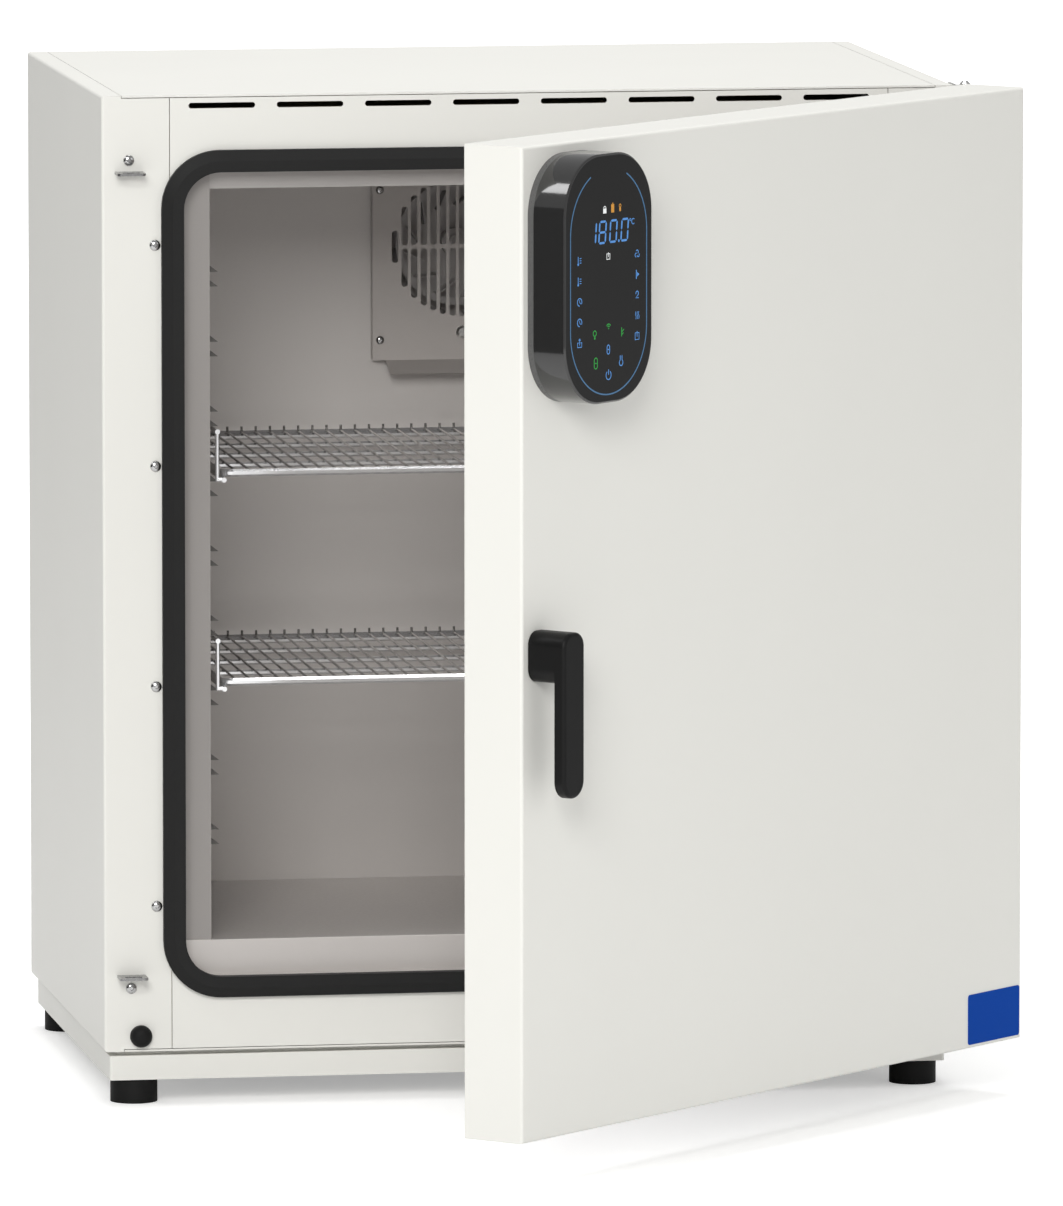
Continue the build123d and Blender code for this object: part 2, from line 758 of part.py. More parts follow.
def runner_pegs(level):
    """Where a runner's two pegs leave the rack panel."""
    _, high = runner_z(level)
    front = FRONT + RUNNER_FRONT + RUNNER_PEG
    rear = CHAMBER_BACK - RUNNER_END - RUNNER_PEG
    return [(-RACK_X - LINER_T, front, high), (-RACK_X - LINER_T, rear, high)]


def runner(level):
    """A left wire runner: the lower wire carries the shelf and the upper one stops it tipping."""
    low, high = runner_z(level)
    inner = -shelf_half()
    outer = inner - RUNNER_OUT
    front = FRONT + RUNNER_FRONT
    rear = CHAMBER_BACK - RUNNER_END
    over = RUNNER_D / 2
    shape = level_bar((inner, front - over, low), (inner, rear + over, low), RUNNER_D)
    shape += level_bar((outer, front - over, high), (outer, rear + over, high), RUNNER_D)
    for y in (front, rear):
        hanger = [(inner, y, low), (outer, y, low), (outer, y, high)]
        shape += mitred_bar(octagon(HANGER_D), hanger)
    for start in runner_pegs(level):
        shape += level_bar(start, (outer, start[1], start[2]), HANGER_D)
    return shape


def shelf_frame(level):
    """A shelf's bent frame rod with the cross rods welded between its sides."""
    half = shelf_half()
    z = shelf_z(level)
    y0 = FRONT + SHELF_FRONT
    outline = RectangleRounded(2 * half, SHELF_D, SHELF_BENDS)
    path = Pos(0, y0 + SHELF_D / 2, z) * outline.wire()
    start = Plane(origin=path @ 0, x_dir=(0, 0, 1), z_dir=path % 0)
    frame = sweep(start * octagon(ROD_D), path=path)
    reach = half - ROD_D / 2 + WELD_SINK
    for i in range(CROSS_COUNT):
        y = y0 + (i + 1) * CROSS_PITCH
        frame += level_bar((-reach, y, z - CROSS_DROP), (reach, y, z - CROSS_DROP), CROSS_D)
    return frame


def shelf_wires(level):
    """The wires of a shelf, laid on its cross rods, six-sided, with their rear ends turned up."""
    z = shelf_z(level) - CROSS_DROP + (CROSS_D + WIRE_D) / 2
    y0 = FRONT + SHELF_FRONT + ROD_D / 2
    y1 = FRONT + SHELF_FRONT + SHELF_D - (ROD_D + WIRE_D) / 2
    section = RegularPolygon(WIRE_D / 2, WIRE_SIDES, major_radius=False)
    count = int((shelf_half() - SHELF_BENDS) / WIRE_PITCH)
    wires = []
    for i in range(-count, count + 1):
        x = i * WIRE_PITCH
        wires.append(mitred_bar(section, [(x, y0, z), (x, y1, z), (x, y1, z + WIRE_TIP)]))
    return Compound(wires)


def grille_slots():
    """The slots of the fan grille: upright slots that fill a circle, split by one level web."""
    slots = Sketch()
    wide = GRILLE_SLOT
    for i in range(GRILLE_COLUMNS):
        x = (i - (GRILLE_COLUMNS - 1) / 2) * GRILLE_PITCH
        reach = math.sqrt(GRILLE_R * GRILLE_R - x * x)
        if reach < GRILLE_SHORT:
            slots += cut_slot(x, FAN_Z, wide, 2 * reach - wide)
            continue
        length = reach - GRILLE_WEB / 2
        middle = GRILLE_WEB / 2 + length / 2
        for side in (-1, 1):
            slots += cut_slot(x, FAN_Z + side * middle, wide, length)
    return slots


def fan_cover():
    """The cover over the fan: a shallow folded box with a slotted face and a deflector lip."""
    y0 = CHAMBER_BACK - COVER_D
    z = FAN_Z - COVER_DROP
    t = COVER_T
    plate = Pos(0, z) * Rectangle(COVER_W, COVER_H)
    plate -= grille_slots()
    plate -= Pos(0, FAN_Z - PROBE_DROP) * Circle(PROBE_D / 2)
    for x, screw_z in cover_screw_places():
        plate -= screw_section(x, screw_z)
    cover = slab(plate, y0, y0 + t)
    half_w = COVER_W / 2
    half_h = COVER_H / 2
    for side in (-1, 1):
        edges = sorted((side * half_w, side * (half_w - t)))
        cover += box(*edges, y0, CHAMBER_BACK, z - half_h, z + half_h)
    cover += box(-half_w, half_w, y0, CHAMBER_BACK, z + half_h - t, z + half_h)
    low = z - half_h
    cover += box(-half_w, half_w, y0, CHAMBER_BACK, low, low + t)
    slope = Plane(origin=(0, y0, low), x_dir=(1, 0, 0), z_dir=(0, -1, 1))
    half_lip = LIP_W / 2
    end = -LIP_DROP * math.sqrt(2)
    outline = Polyline(
        (-half_lip, t),
        (half_lip, t),
        (half_lip - LIP_TAPER, end),
        (LIP_TAPER - half_lip, end),
        close=True,
    )
    return cover + extrude(slope * make_face(outline), amount=-t)


def cover_screws():
    """The screws of the fan cover, which reach through the chamber's rear wall."""
    y = CHAMBER_BACK - COVER_D
    length = COVER_D + LINER_T + COVER_SCREW_OVER
    places = cover_screw_places()
    return Compound([screw(x, z, y, head_d=COVER_HEAD_D, length=length) for x, z in places])


def temperature_probe():
    """The probe that looks through the cover, held in the rear wall."""
    y0 = CHAMBER_BACK - COVER_D
    z = FAN_Z - PROBE_DROP
    probe = disc(0, z, PROBE_D, y0 - PROBE_OUT, CHAMBER_BACK)
    probe = chamfer(probe.edges().sort_by(Axis.Y)[0], PROBE_OUT * 0.6)
    return probe + disc(0, z, PROBE_SHANK_D, CHAMBER_BACK, POCKET_BACK)


def heater_path():
    """The heater's centre line: a ring open at the bottom whose ends turn back along Y."""
    middle = (CHAMBER_BACK + POCKET_BACK) / 2
    start = HEATER_GAP / 2 - 90
    ring = CenterArc((0, 0), HEATER_R, start, 360 - HEATER_GAP)
    ring = Plane(origin=(0, middle, FAN_Z), x_dir=(1, 0, 0), z_dir=(0, -1, 0)) * ring
    back = Vector(0, 1, 0)
    edges = [ring.edge()]
    for end, run in ((ring @ 0, ring % 0 * -1), (ring @ 1, ring % 1)):
        turn_end = end + (run + back) * HEATER_BEND
        edges.append(TangentArc(end, turn_end, tangent=run).edge())
        lead_end = Vector(turn_end.X, POCKET_BACK + LINER_T + HEATER_LEAD, turn_end.Z)
        edges.append(Line(turn_end, lead_end).edge())
    return Wire(edges)


def heater_leads():
    """Where the heater's two ends pass through the pocket's rear wall."""
    path = heater_path()
    return [(end.X, end.Z) for end in (path @ 0, path @ 1)]


def heater_element():
    """The tubular heating element round the fan."""
    path = heater_path()
    start = Plane(origin=path @ 0, z_dir=path % 0)
    return sweep(start * RegularPolygon(HEATER_D / 2, ROD_SIDES), path=path)


def fan_impeller():
    """A centrifugal wheel: leaning blades between a rear disc and a front ring, on a hub."""
    y1 = POCKET_BACK - FAN_GAP
    y0 = y1 - FAN_W
    outer = FAN_D / 2
    wheel = disc(0, FAN_Z, FAN_D, y1 - BLADE_T, y1)
    ring = Circle(outer) - Circle(outer - FAN_RING_W)
    wheel += slab(Pos(0, FAN_Z) * ring, y0, y0 + BLADE_T)
    start = Vector(FAN_EYE_D / 2, 0)
    end = Vector(outer - BLADE_EDGE, 0).rotate(Axis.Z, -BLADE_LEAN)
    blade = trace(Line(start, end), BLADE_T)
    blades = Sketch()
    for i in range(FAN_BLADES):
        blades += Rot(0, 0, 360 / FAN_BLADES * i) * blade
    wheel += slab(Pos(0, FAN_Z) * blades, y0, y1)
    wheel += disc(0, FAN_Z, HUB_D, y1 - HUB_L, y1)
    return wheel - disc(0, FAN_Z, SHAFT_D, y0, y1)


def fan_shaft():
    """The motor's shaft, on which the wheel is fixed with a small nut."""
    hub_y = POCKET_BACK - FAN_GAP - HUB_L
    shaft = disc(0, FAN_Z, SHAFT_D, hub_y - SHAFT_TIP, MOTOR_Y - LINER_T + SHAFT_IN_MOTOR)
    nut = Pos(0, FAN_Z) * RegularPolygon(SHAFT_NUT_D / 2, 6, major_radius=False)
    return shaft + slab(nut, hub_y - SHAFT_NUT_L, hub_y)


def motor_bracket():
    """The plate that carries the motor on four spacers behind the pocket."""
    plate_y = MOTOR_Y - BRACKET_T
    sketch = Pos(0, FAN_Z) * RectangleRounded(BRACKET_W, BRACKET_W, BRACKET_R)
    sketch -= Pos(0, FAN_Z) * Circle(SHAFT_D)
    bracket = slab(sketch, plate_y, MOTOR_Y)
    reach = BRACKET_W / 2 - SPACER_IN
    for sx in (-1, 1):
        for sz in (-1, 1):
            spacer = (sx * reach, FAN_Z + sz * reach)
            bracket += disc(*spacer, SPACER_D, POCKET_BACK + LINER_T, plate_y)
    return bracket


def fan_motor():
    """The motor can with its end cap and the bearing of the shaft."""
    can = disc(0, FAN_Z, MOTOR_D, MOTOR_Y, MOTOR_Y + MOTOR_L)
    can = chamfer(can.edges().sort_by(Axis.Y)[-1], MOTOR_EDGE)
    fit = SHAFT_D + 2 * SPINDLE_PLAY
    return can - disc(0, FAN_Z, fit, MOTOR_Y, MOTOR_Y + BEARING_L)


def keeper(z, sign):
    """A keeper of the lock: a slotted tab through the front flange and its foot behind."""
    half = KEEPER_W / 2
    low = z - KEEPER_T / 2
    high = z + KEEPER_T / 2
    back = FRONT + SHEET
    tab = box(LOCK_X - half, LOCK_X + half, FRONT - KEEPER_OUT, back + KEEPER_T, low, high)
    corners = tab.edges().filter_by(Axis.Z).sort_by(Axis.Y)[:2]
    tab = fillet(corners, KEEPER_CORNER)
    slot_y = (BOLT_Y0 + BOLT_Y1) / 2
    slot = KEEPER_SLOT_W / 2
    depth = KEEPER_SLOT_D / 2
    tab -= box(LOCK_X - slot, LOCK_X + slot, slot_y - depth, slot_y + depth, low, high)
    foot_end = z + sign * (KEEPER_SCREW + KEEPER_BASE)
    foot = box(LOCK_X - half, LOCK_X + half, back, back + KEEPER_T, *sorted((z, foot_end)))
    screw_z = z + sign * KEEPER_SCREW
    return tab + foot - screw_hole(LOCK_X, screw_z, back, back + KEEPER_T)


def front_screws():
    """The chromed screws on the front flanges, with those of the keepers."""
    places = front_screw_places() + keeper_screw_places()
    return Compound([screw(x, z, FRONT) for x, z in places])


def rear_screws():
    """The screws of the rear panel."""
    return Compound([screw(x, z, REAR, out=1) for x, z in rear_screw_places()])


def door_bumper():
    """The domed rubber stop on the front flange that the closed door rests near."""
    x = -CASE_W / 2 + BUMPER_IN
    z = CASE_Z0 + BUMPER_LIFT
    height = DOOR_GAP - BUMPER_GAP
    stop = disc(x, z, BUMPER_D, FRONT - height, FRONT)
    return fillet(stop.edges().sort_by(Axis.Y)[0], height * 0.75)


def hinge_heights():
    """The lower end of each hinge."""
    return [CASE_Z0 + HINGE_EDGE, CASE_Z1 - HINGE_H]


def case_leaf(z):
    """The casing's half of a hinge: a leaf on the side panel and the two outer knuckles."""
    x0 = CASE_W / 2
    leaf_y = (FRONT + HINGE_SET, FRONT + HINGE_LEAF_L)
    leaf = box(x0, x0 + HINGE_LEAF, *leaf_y, z, z + HINGE_H)
    leaf = fillet(leaf.edges().filter_by(Axis.X).sort_by(Axis.Y)[-2:], HINGE_CORNER)
    knuckle = HINGE_KNUCKLE
    for low in (z, z + HINGE_H - knuckle):
        arm = box(x0, HINGE_X, HINGE_Y, FRONT + HINGE_ARM, low, low + knuckle)
        barrel = rod((HINGE_X, HINGE_Y, low), (HINGE_X, HINGE_Y, low + knuckle), 2 * HINGE_R)
        leaf += arm + barrel
    top = z + HINGE_H
    return leaf - rod((HINGE_X, HINGE_Y, z), (HINGE_X, HINGE_Y, top), HINGE_PIN_D)


def door_leaf(z):
    """The door's half of a hinge: a leaf on the door's edge and the middle knuckle."""
    low = z + HINGE_KNUCKLE + HINGE_GAP
    high = z + HINGE_H - HINGE_KNUCKLE - HINGE_GAP
    leaf_y = (DOOR_BACK - HINGE_LEAF_L, DOOR_BACK - HINGE_SET)
    leaf = box(DOOR_X1, DOOR_X1 + HINGE_LEAF, *leaf_y, low, high)
    leaf = fillet(leaf.edges().filter_by(Axis.X).sort_by(Axis.Y)[:2], HINGE_CORNER)
    leaf += box(DOOR_X1, HINGE_X, DOOR_BACK - HINGE_ARM, HINGE_Y, low, high)
    leaf += rod((HINGE_X, HINGE_Y, low), (HINGE_X, HINGE_Y, high), 2 * HINGE_R)
    bore = HINGE_PIN_D + 2 * SPINDLE_PLAY
    return leaf - rod((HINGE_X, HINGE_Y, low), (HINGE_X, HINGE_Y, high), bore)


def hinge_pins():
    """The pins, each with a domed head above its upper knuckle."""
    pins = []
    for z in hinge_heights():
        top = z + HINGE_H
        pin = rod((HINGE_X, HINGE_Y, z), (HINGE_X, HINGE_Y, top), HINGE_PIN_D)
        head = rod((HINGE_X, HINGE_Y, top), (HINGE_X, HINGE_Y, top + PIN_HEAD_H), PIN_HEAD_D)
        pins.append(pin + chamfer(head.edges().sort_by(Axis.Z)[-1], PIN_HEAD_H * 0.6))
    return Compound(pins)


def exhaust_duct():
    """The exhaust tube from the chamber's rear wall out through the rear panel."""
    y1 = REAR + DUCT_OUT
    ring = Circle(DUCT_D / 2) - Circle(DUCT_D / 2 - DUCT_WALL)
    duct = slab(Pos(DUCT_X, DUCT_Z) * ring, CHAMBER_BACK, y1)
    collar = Circle(DUCT_D / 2 + COLLAR_W) - Circle(DUCT_D / 2)
    return duct + slab(Pos(DUCT_X, DUCT_Z) * collar, REAR, REAR + COLLAR_T)


def power_inlet():
    """The mains inlet: a flanged socket with three pins, set in the rear panel."""
    place = Pos(INLET_X, INLET_Z)
    face = REAR + INLET_FLANGE_T
    flange = (INLET_W + 2 * INLET_FLANGE_W, INLET_H + 2 * INLET_FLANGE_H)
    hollow = (INLET_W - 2 * INLET_WALL, INLET_H - 2 * INLET_WALL)
    shell = slab(place * Rectangle(INLET_W, INLET_H), REAR - INLET_DEPTH, REAR)
    shell += slab(place * RectangleRounded(*flange, INLET_R), REAR, face)
    shell -= slab(place * RectangleRounded(*hollow, INLET_WALL), REAR - SOCKET_DEPTH, face)
    for x, z in ((-PRONG_REACH, -PRONG_W), (PRONG_REACH, -PRONG_W), (0, PRONG_W)):
        pin = Pos(INLET_X + x, INLET_Z + z) * Rectangle(PRONG_W, PRONG_H)
        shell += slab(pin, REAR - SOCKET_DEPTH, REAR - PRONG_IN)
    return shell


def power_board():
    """The board with the relay that switches the heater, on four posts behind the chamber."""
    y1 = REAR - SHEET - BOARD_STAND
    face = y1 - BOARD_T
    board = slab(Pos(BOARD_X, BOARD_Z) * Rectangle(BOARD_W, BOARD_H), face, y1)
    reach_x = BOARD_W / 2 - BOARD_POST_IN
    reach_z = BOARD_H / 2 - BOARD_POST_IN
    for sx in (-1, 1):
        for sz in (-1, 1):
            place = (BOARD_X + sx * reach_x, BOARD_Z + sz * reach_z)
            board += disc(*place, BOARD_POST_D, y1, REAR - SHEET)
    parts = ((RELAY, 1, -1), (SINK, -1, 1), (TERMINAL, -1, -1))
    for (width, depth, height), sx, sz in parts:
        x = BOARD_X + sx * BOARD_W / 4
        z = BOARD_Z + sz * BOARD_H / 4
        board += box(x - width / 2, x + width / 2, face - depth, face, z - height / 2, z + height / 2)
    return board


def insulation_wrap():
    """The mineral wool round the four sides of the chamber."""
    gap = WOOL_GAP
    outer_x = CASE_W / 2 - SHEET - gap
    z0 = CASE_Z0 + SHEET + gap
    z1 = CASE_Z1 - SHEET - WOOL_TOP
    y0 = FRONT + SHEET + LINER_T + KEEPER_T + gap
    wool = box(-outer_x, outer_x, y0, CHAMBER_BACK, z0, z1)
    half = CHAMBER_W / 2 + LINER_T
    wool -= box(-half, half, y0, CHAMBER_BACK, CHAMBER_Z0 - LINER_T, CHAMBER_Z1 + LINER_T)
    for x, z in front_screw_places() + keeper_screw_places():
        half = WOOL_ROUND
        wool -= box(x - half, x + half, y0, FRONT + SCREW_L, z - half, z + half)
    return wool


def insulation_rear():
    """The mineral wool behind the chamber, cut out round the fan pocket and the duct."""
    gap = WOOL_GAP
    outer_x = CASE_W / 2 - SHEET - gap
    z0 = CASE_Z0 + SHEET + gap
    z1 = CASE_Z1 - SHEET - WOOL_TOP
    y0 = CHAMBER_BACK + LINER_T
    wool = box(-outer_x, outer_x, y0, y0 + WOOL_REAR, z0, z1)
    hole = POCKET_W + 2 * LINER_T + 2 * gap
    half = hole / 2
    low = FAN_Z - half - COVER_H / 2
    half_w = half + WOOL_BESIDE
    wool -= box(-half_w, half_w, y0, y0 + WOOL_REAR, low, FAN_Z + half)
    return wool - disc(DUCT_X, DUCT_Z, DUCT_D, y0, y0 + WOOL_REAR)


def door_outline(margin, r):
    """A rectangle inside the door's edge, as a front-facing sketch."""
    place = Pos((DOOR_X0 + DOOR_X1) / 2, (DOOR_Z0 + DOOR_Z1) / 2)
    size = (DOOR_W - 2 * margin, DOOR_H - 2 * margin)
    return place * (RectangleRounded(*size, r) if r else Rectangle(*size))


def door_shell():
    """The door's outer pan, open at the back, with holes for the spindle and a cable."""
    shell = slab(door_outline(0, 0), DOOR_FRONT, DOOR_BACK)
    shell = fillet(shell.faces().sort_by(Axis.Y)[0].edges(), DOOR_EDGE_R)
    shell = fillet(shell.edges().filter_by(Axis.Z), DOOR_EDGE_R * 0.6)
    inside = slab(door_outline(DOOR_SHEET, 0), DOOR_FRONT + DOOR_SHEET, DOOR_BACK)
    shell -= inside
    fit = SPINDLE_D + 2 * BUSH_W
    shell -= disc(LOCK_X, HANDLE_Z, fit, DOOR_FRONT, DOOR_FRONT + DOOR_SHEET)
    return shell - disc(POD_X, POD_Z, CABLE_HOLE_D, DOOR_FRONT, DOOR_FRONT + DOOR_SHEET)


def door_inner_panel():
    """The door's inner sheet, slotted for the keepers."""
    panel = slab(door_outline(DOOR_SHEET, 0), DOOR_BACK - INNER_T, DOOR_BACK)
    width = KEEPER_W + 2 * SLOT_CLEAR
    height = KEEPER_T + 2 * SLOT_CLEAR
    for z, _ in keeper_places():
        slot = Pos(LOCK_X, z) * Rectangle(width, height)
        panel -= slab(slot, DOOR_BACK - INNER_T, DOOR_BACK)
    return panel


def door_plug_pan():
    """A shallow pressed pan on the inner sheet that stands in the mouth when the door is closed."""
    middle = (CHAMBER_Z0 + CHAMBER_Z1) / 2
    size = (CHAMBER_W - 2 * PLUG_MARGIN, CHAMBER_H - 2 * PLUG_MARGIN)
    pan = slab(Pos(0, middle) * RectangleRounded(*size, PLUG_R), DOOR_BACK, DOOR_BACK + PLUG_RISE)
    pan = chamfer(pan.faces().sort_by(Axis.Y)[-1].edges(), PLUG_RISE * 0.6)
    inner_size = (size[0] - 2 * INNER_T, size[1] - 2 * INNER_T)
    hollow = Pos(0, middle) * RectangleRounded(*inner_size, PLUG_R - INNER_T)
    hollow = slab(hollow, DOOR_BACK, DOOR_BACK + PLUG_RISE - INNER_T)
    rim = hollow.faces().sort_by(Axis.Y)[-1].edges()
    return pan - chamfer(rim, PLUG_RISE * 0.6)


def door_insulation():
    """The wool inside the door, beside the channel of the lock."""
    gap = WOOL_GAP
    x0 = DOOR_X0 + LOCK_CHANNEL
    x1 = DOOR_X1 - DOOR_SHEET - gap
    z0 = DOOR_Z0 + DOOR_SHEET + gap
    z1 = DOOR_Z1 - DOOR_SHEET - gap
    wool = box(x0, x1, DOOR_FRONT + DOOR_SHEET, DOOR_BACK - INNER_T, z0, z1)
    return wool - disc(POD_X, POD_Z, CABLE_HOLE_D, DOOR_FRONT, DOOR_FRONT + CABLE_ROOM)


def bolt_ends():
    """The tip of each bolt at rest and the direction in which it is thrown."""
    reach = KEEPER_T / 2 + BOLT_TIP_GAP
    return [(z - sign * reach, sign) for z, sign in keeper_places()]


def lock_bolt(tip, sign):
    """A bolt: a long flat bar with a slotted head that the follower's pin drives."""
    rest = HANDLE_Z - sign * BOLT_STROKE / 2
    slot_x0 = BOLT_STROKE / 2 - YOKE_PIN_D / 2 - YOKE_CLEAR
    slot_x1 = YOKE_R + YOKE_PIN_D / 2 + YOKE_CLEAR
    slot_h = YOKE_PIN_D + 2 * YOKE_CLEAR
    head_x0 = YOKE_SPLIT
    head_x1 = slot_x1 + YOKE_WALL
    shoulder = HANDLE_Z + sign * (BOLT_STROKE / 2 + slot_h / 2 + YOKE_WALL + YOKE_SHOULDER)
    end = rest - sign * (slot_h / 2 + YOKE_WALL)
    low, high = sorted((end, shoulder + sign * BOLT_W))
    head_middle = (head_x0 + head_x1) / 2
    head = Pos(sign * head_middle, (low + high) / 2) * Rectangle(head_x1 - head_x0, high - low)
    low, high = sorted((shoulder, tip))
    bar = Pos(0, (low + high) / 2) * Rectangle(BOLT_W, high - low)
    slot = Pos(sign * (slot_x0 + slot_x1) / 2, rest) * SlotOverall(slot_x1 - slot_x0, slot_h)
    return slab(Pos(LOCK_X, 0) * (head + bar - slot), BOLT_Y0, BOLT_Y1)


def guide_heights():
    """The heights of the guides along the bolts."""
    return [
        HANDLE_Z + share * (z - HANDLE_Z)
        for z, _ in keeper_places()
        for share in GUIDE_SHARES
    ]


def bolt_guides():
    """Folded clips on the inner sheet in which the bolts slide."""
    guides = []
    half = BOLT_W / 2 + GUIDE_PLAY
    wall = GUIDE_WALL
    front = BOLT_Y0 - GUIDE_PLAY
    back = DOOR_BACK - INNER_T
    for z in guide_heights():
        low = z - GUIDE_H / 2
        high = z + GUIDE_H / 2
        ear = half + wall + GUIDE_EAR
        clip = box(LOCK_X - ear, LOCK_X + ear, back - GUIDE_EAR_T, back, low, high)
        clip += box(LOCK_X - half - wall, LOCK_X + half + wall, front - wall, back, low, high)
        clip -= box(LOCK_X - half, LOCK_X + half, front, back, low, high)
        guides.append(clip)
    return guides


def lock_bracket():
    """The bridge that carries the spindle in front of the bolts, with the bolts' guides."""
    back = DOOR_BACK - INNER_T
    y1 = LOCK_PLATE_Y1
    y0 = y1 - LOCK_PLATE_T
    half_w = FOLLOWER_R + LOCK_PLATE_SIDE
    half_h = LOCK_PLATE_H / 2
    x0 = LOCK_X - half_w
    x1 = LOCK_X + half_w
    t = LOCK_PLATE_T
    bridge = box(x0, x1, y0, y1, HANDLE_Z - half_h, HANDLE_Z + half_h)
    slide = BOLT_W / 2 + LOCK_SLIDE
    for side in (-1, 1):
        edge = HANDLE_Z + side * half_h
        span = sorted((edge, edge - side * t))
        leg = box(x0, x1, y1, back, *span)
        leg -= box(LOCK_X - slide, LOCK_X + slide, FOLLOWER_Y1 - FOLLOWER_GAP, back, *span)
        foot_span = sorted((edge, edge + side * LOCK_FOOT))
        foot = box(x0, LOCK_X - slide, back - t, back, *foot_span)
        foot += box(LOCK_X + slide, x1, back - t, back, *foot_span)
        bridge += leg + foot
    hole = SPINDLE_D + 2 * SPINDLE_PLAY
    boss_y = y0 - LOCK_BOSS_L
    boss = disc(LOCK_X, HANDLE_Z, SPINDLE_D + 2 * LOCK_BOSS_W, boss_y, y0)
    bridge = bridge + boss - disc(LOCK_X, HANDLE_Z, hole, boss_y, y1)
    return Compound([bridge, *bolt_guides()])


def spindle_bush():
    """The flanged bush of the spindle in the door's front sheet."""
    inside = DOOR_FRONT + DOOR_SHEET
    end = inside + BUSH_FLANGE_T
    bush = disc(LOCK_X, HANDLE_Z, SPINDLE_D + 2 * BUSH_W, DOOR_FRONT, inside)
    bush += disc(LOCK_X, HANDLE_Z, SPINDLE_D + 2 * BUSH_FLANGE_W, inside, end)
    hole = SPINDLE_D + 2 * SPINDLE_PLAY
    return bush - disc(LOCK_X, HANDLE_Z, hole, DOOR_FRONT, end)


def handle_lever():
    """The lever: a flat grip that hangs from a square neck, with soft edges."""
    half = HANDLE_W / 2
    seat = DOOR_FRONT - HANDLE_GAP
    neck_y0 = seat - HANDLE_NECK
    hub = Pos(LOCK_X, HANDLE_Z) * RectangleRounded(HANDLE_W, HANDLE_NECK_H, HANDLE_R)
    length = HANDLE_DROP + half
    middle = HANDLE_Z + half - length / 2
    grip = hub + Pos(LOCK_X, middle) * SlotOverall(length, HANDLE_W, rotation=90)
    lever = slab(hub, neck_y0, seat) + slab(grip, neck_y0 - HANDLE_T, neck_y0)
    lever = fillet(lever.faces().sort_by(Axis.Y)[0].edges(), HANDLE_ROUND)
    return lever - disc(LOCK_X, HANDLE_Z, SPINDLE_D, neck_y0 + SPINDLE_SHORT, seat)


def handle_spindle():
    """The spindle with its follower disc and the two pins that throw the bolts."""
    start = DOOR_FRONT - HANDLE_GAP - HANDLE_NECK + SPINDLE_SHORT
    spindle = disc(LOCK_X, HANDLE_Z, SPINDLE_D, start, FOLLOWER_Y0)
    spindle += disc(LOCK_X, HANDLE_Z, 2 * FOLLOWER_R, FOLLOWER_Y0, FOLLOWER_Y1)
    for side in (-1, 1):
        x = LOCK_X + side * BOLT_STROKE / 2
        z = HANDLE_Z - side * BOLT_STROKE / 2
        spindle += disc(x, z, YOKE_PIN_D, FOLLOWER_Y1, BOLT_Y1 - YOKE_PIN_SHORT)
    return spindle


def pod_outline(margin=0.0):
    """The rounded outline of the control unit, drawn inside its edge by the margin."""
    size = (POD_W - 2 * margin, POD_H - 2 * margin)
    return Pos(POD_X, POD_Z) * RectangleRounded(*size, POD_R - margin)


def control_base():
    """The frame on the door's face that carries the control unit."""
    y0 = DOOR_FRONT - POD_BASE
    ring = slab(pod_outline(), y0, DOOR_FRONT)
    return ring - slab(pod_outline(POD_WALL * 2), y0, DOOR_FRONT)


def control_housing():
    """The moulded housing of the control unit, with posts for its board and a seat for glass."""
    y0 = DOOR_FRONT - POD_D
    y1 = DOOR_FRONT - POD_BASE
    housing = slab(pod_outline(), y0, y1)
    housing = chamfer(housing.faces().sort_by(Axis.Y)[0].edges(), POD_EDGE)
    seat = y0 + GLASS_T
    housing -= slab(pod_outline(POD_WALL - GLASS_LIP), y0, seat)
    inside = seat + GLASS_SEAT
    housing -= slab(pod_outline(POD_WALL + GLASS_LIP), seat, inside)
    housing -= slab(pod_outline(POD_WALL), inside, y1)
    reach_x = POD_W / 2 - POD_WALL - POD_POST_IN
    half = POD_POST / 2
    for side in (-1, 1):
        for up in (-1, 1):
            z = POD_Z + up * POD_H / 6
            x = POD_X + side * reach_x
            end = seat + POD_BOARD_GAP
            housing += box(x - half, x + half, inside, end, z - half, z + half)
    return housing


def control_glass():
    """The glass front of the control unit, seated in the housing's lip."""
    y0 = DOOR_FRONT - POD_D
    margin = POD_WALL - GLASS_LIP + GLASS_FIT
    return slab(pod_outline(margin), y0, y0 + GLASS_T)


def display_board():
    """The board with the display and touch keys behind the glass."""
    y0 = DOOR_FRONT - POD_D + GLASS_T + POD_BOARD_GAP
    board = slab(pod_outline(POD_WALL + POD_BOARD_IN), y0, y0 + POD_BOARD_T)
    z = POD_Z + POD_H * SCREEN_UP
    half = SCREEN_W / 2
    front = y0 - POD_BOARD_GAP + SCREEN_GAP
    screen = box(POD_X - half, POD_X + half, front, y0, z - SCREEN_H / 2, z + SCREEN_H / 2)
    width, depth, height = PLUG
    plug = Pos(POD_X, y0 + POD_BOARD_T + depth / 2, POD_Z) * Box(width, depth, height)
    return board + screen + plug


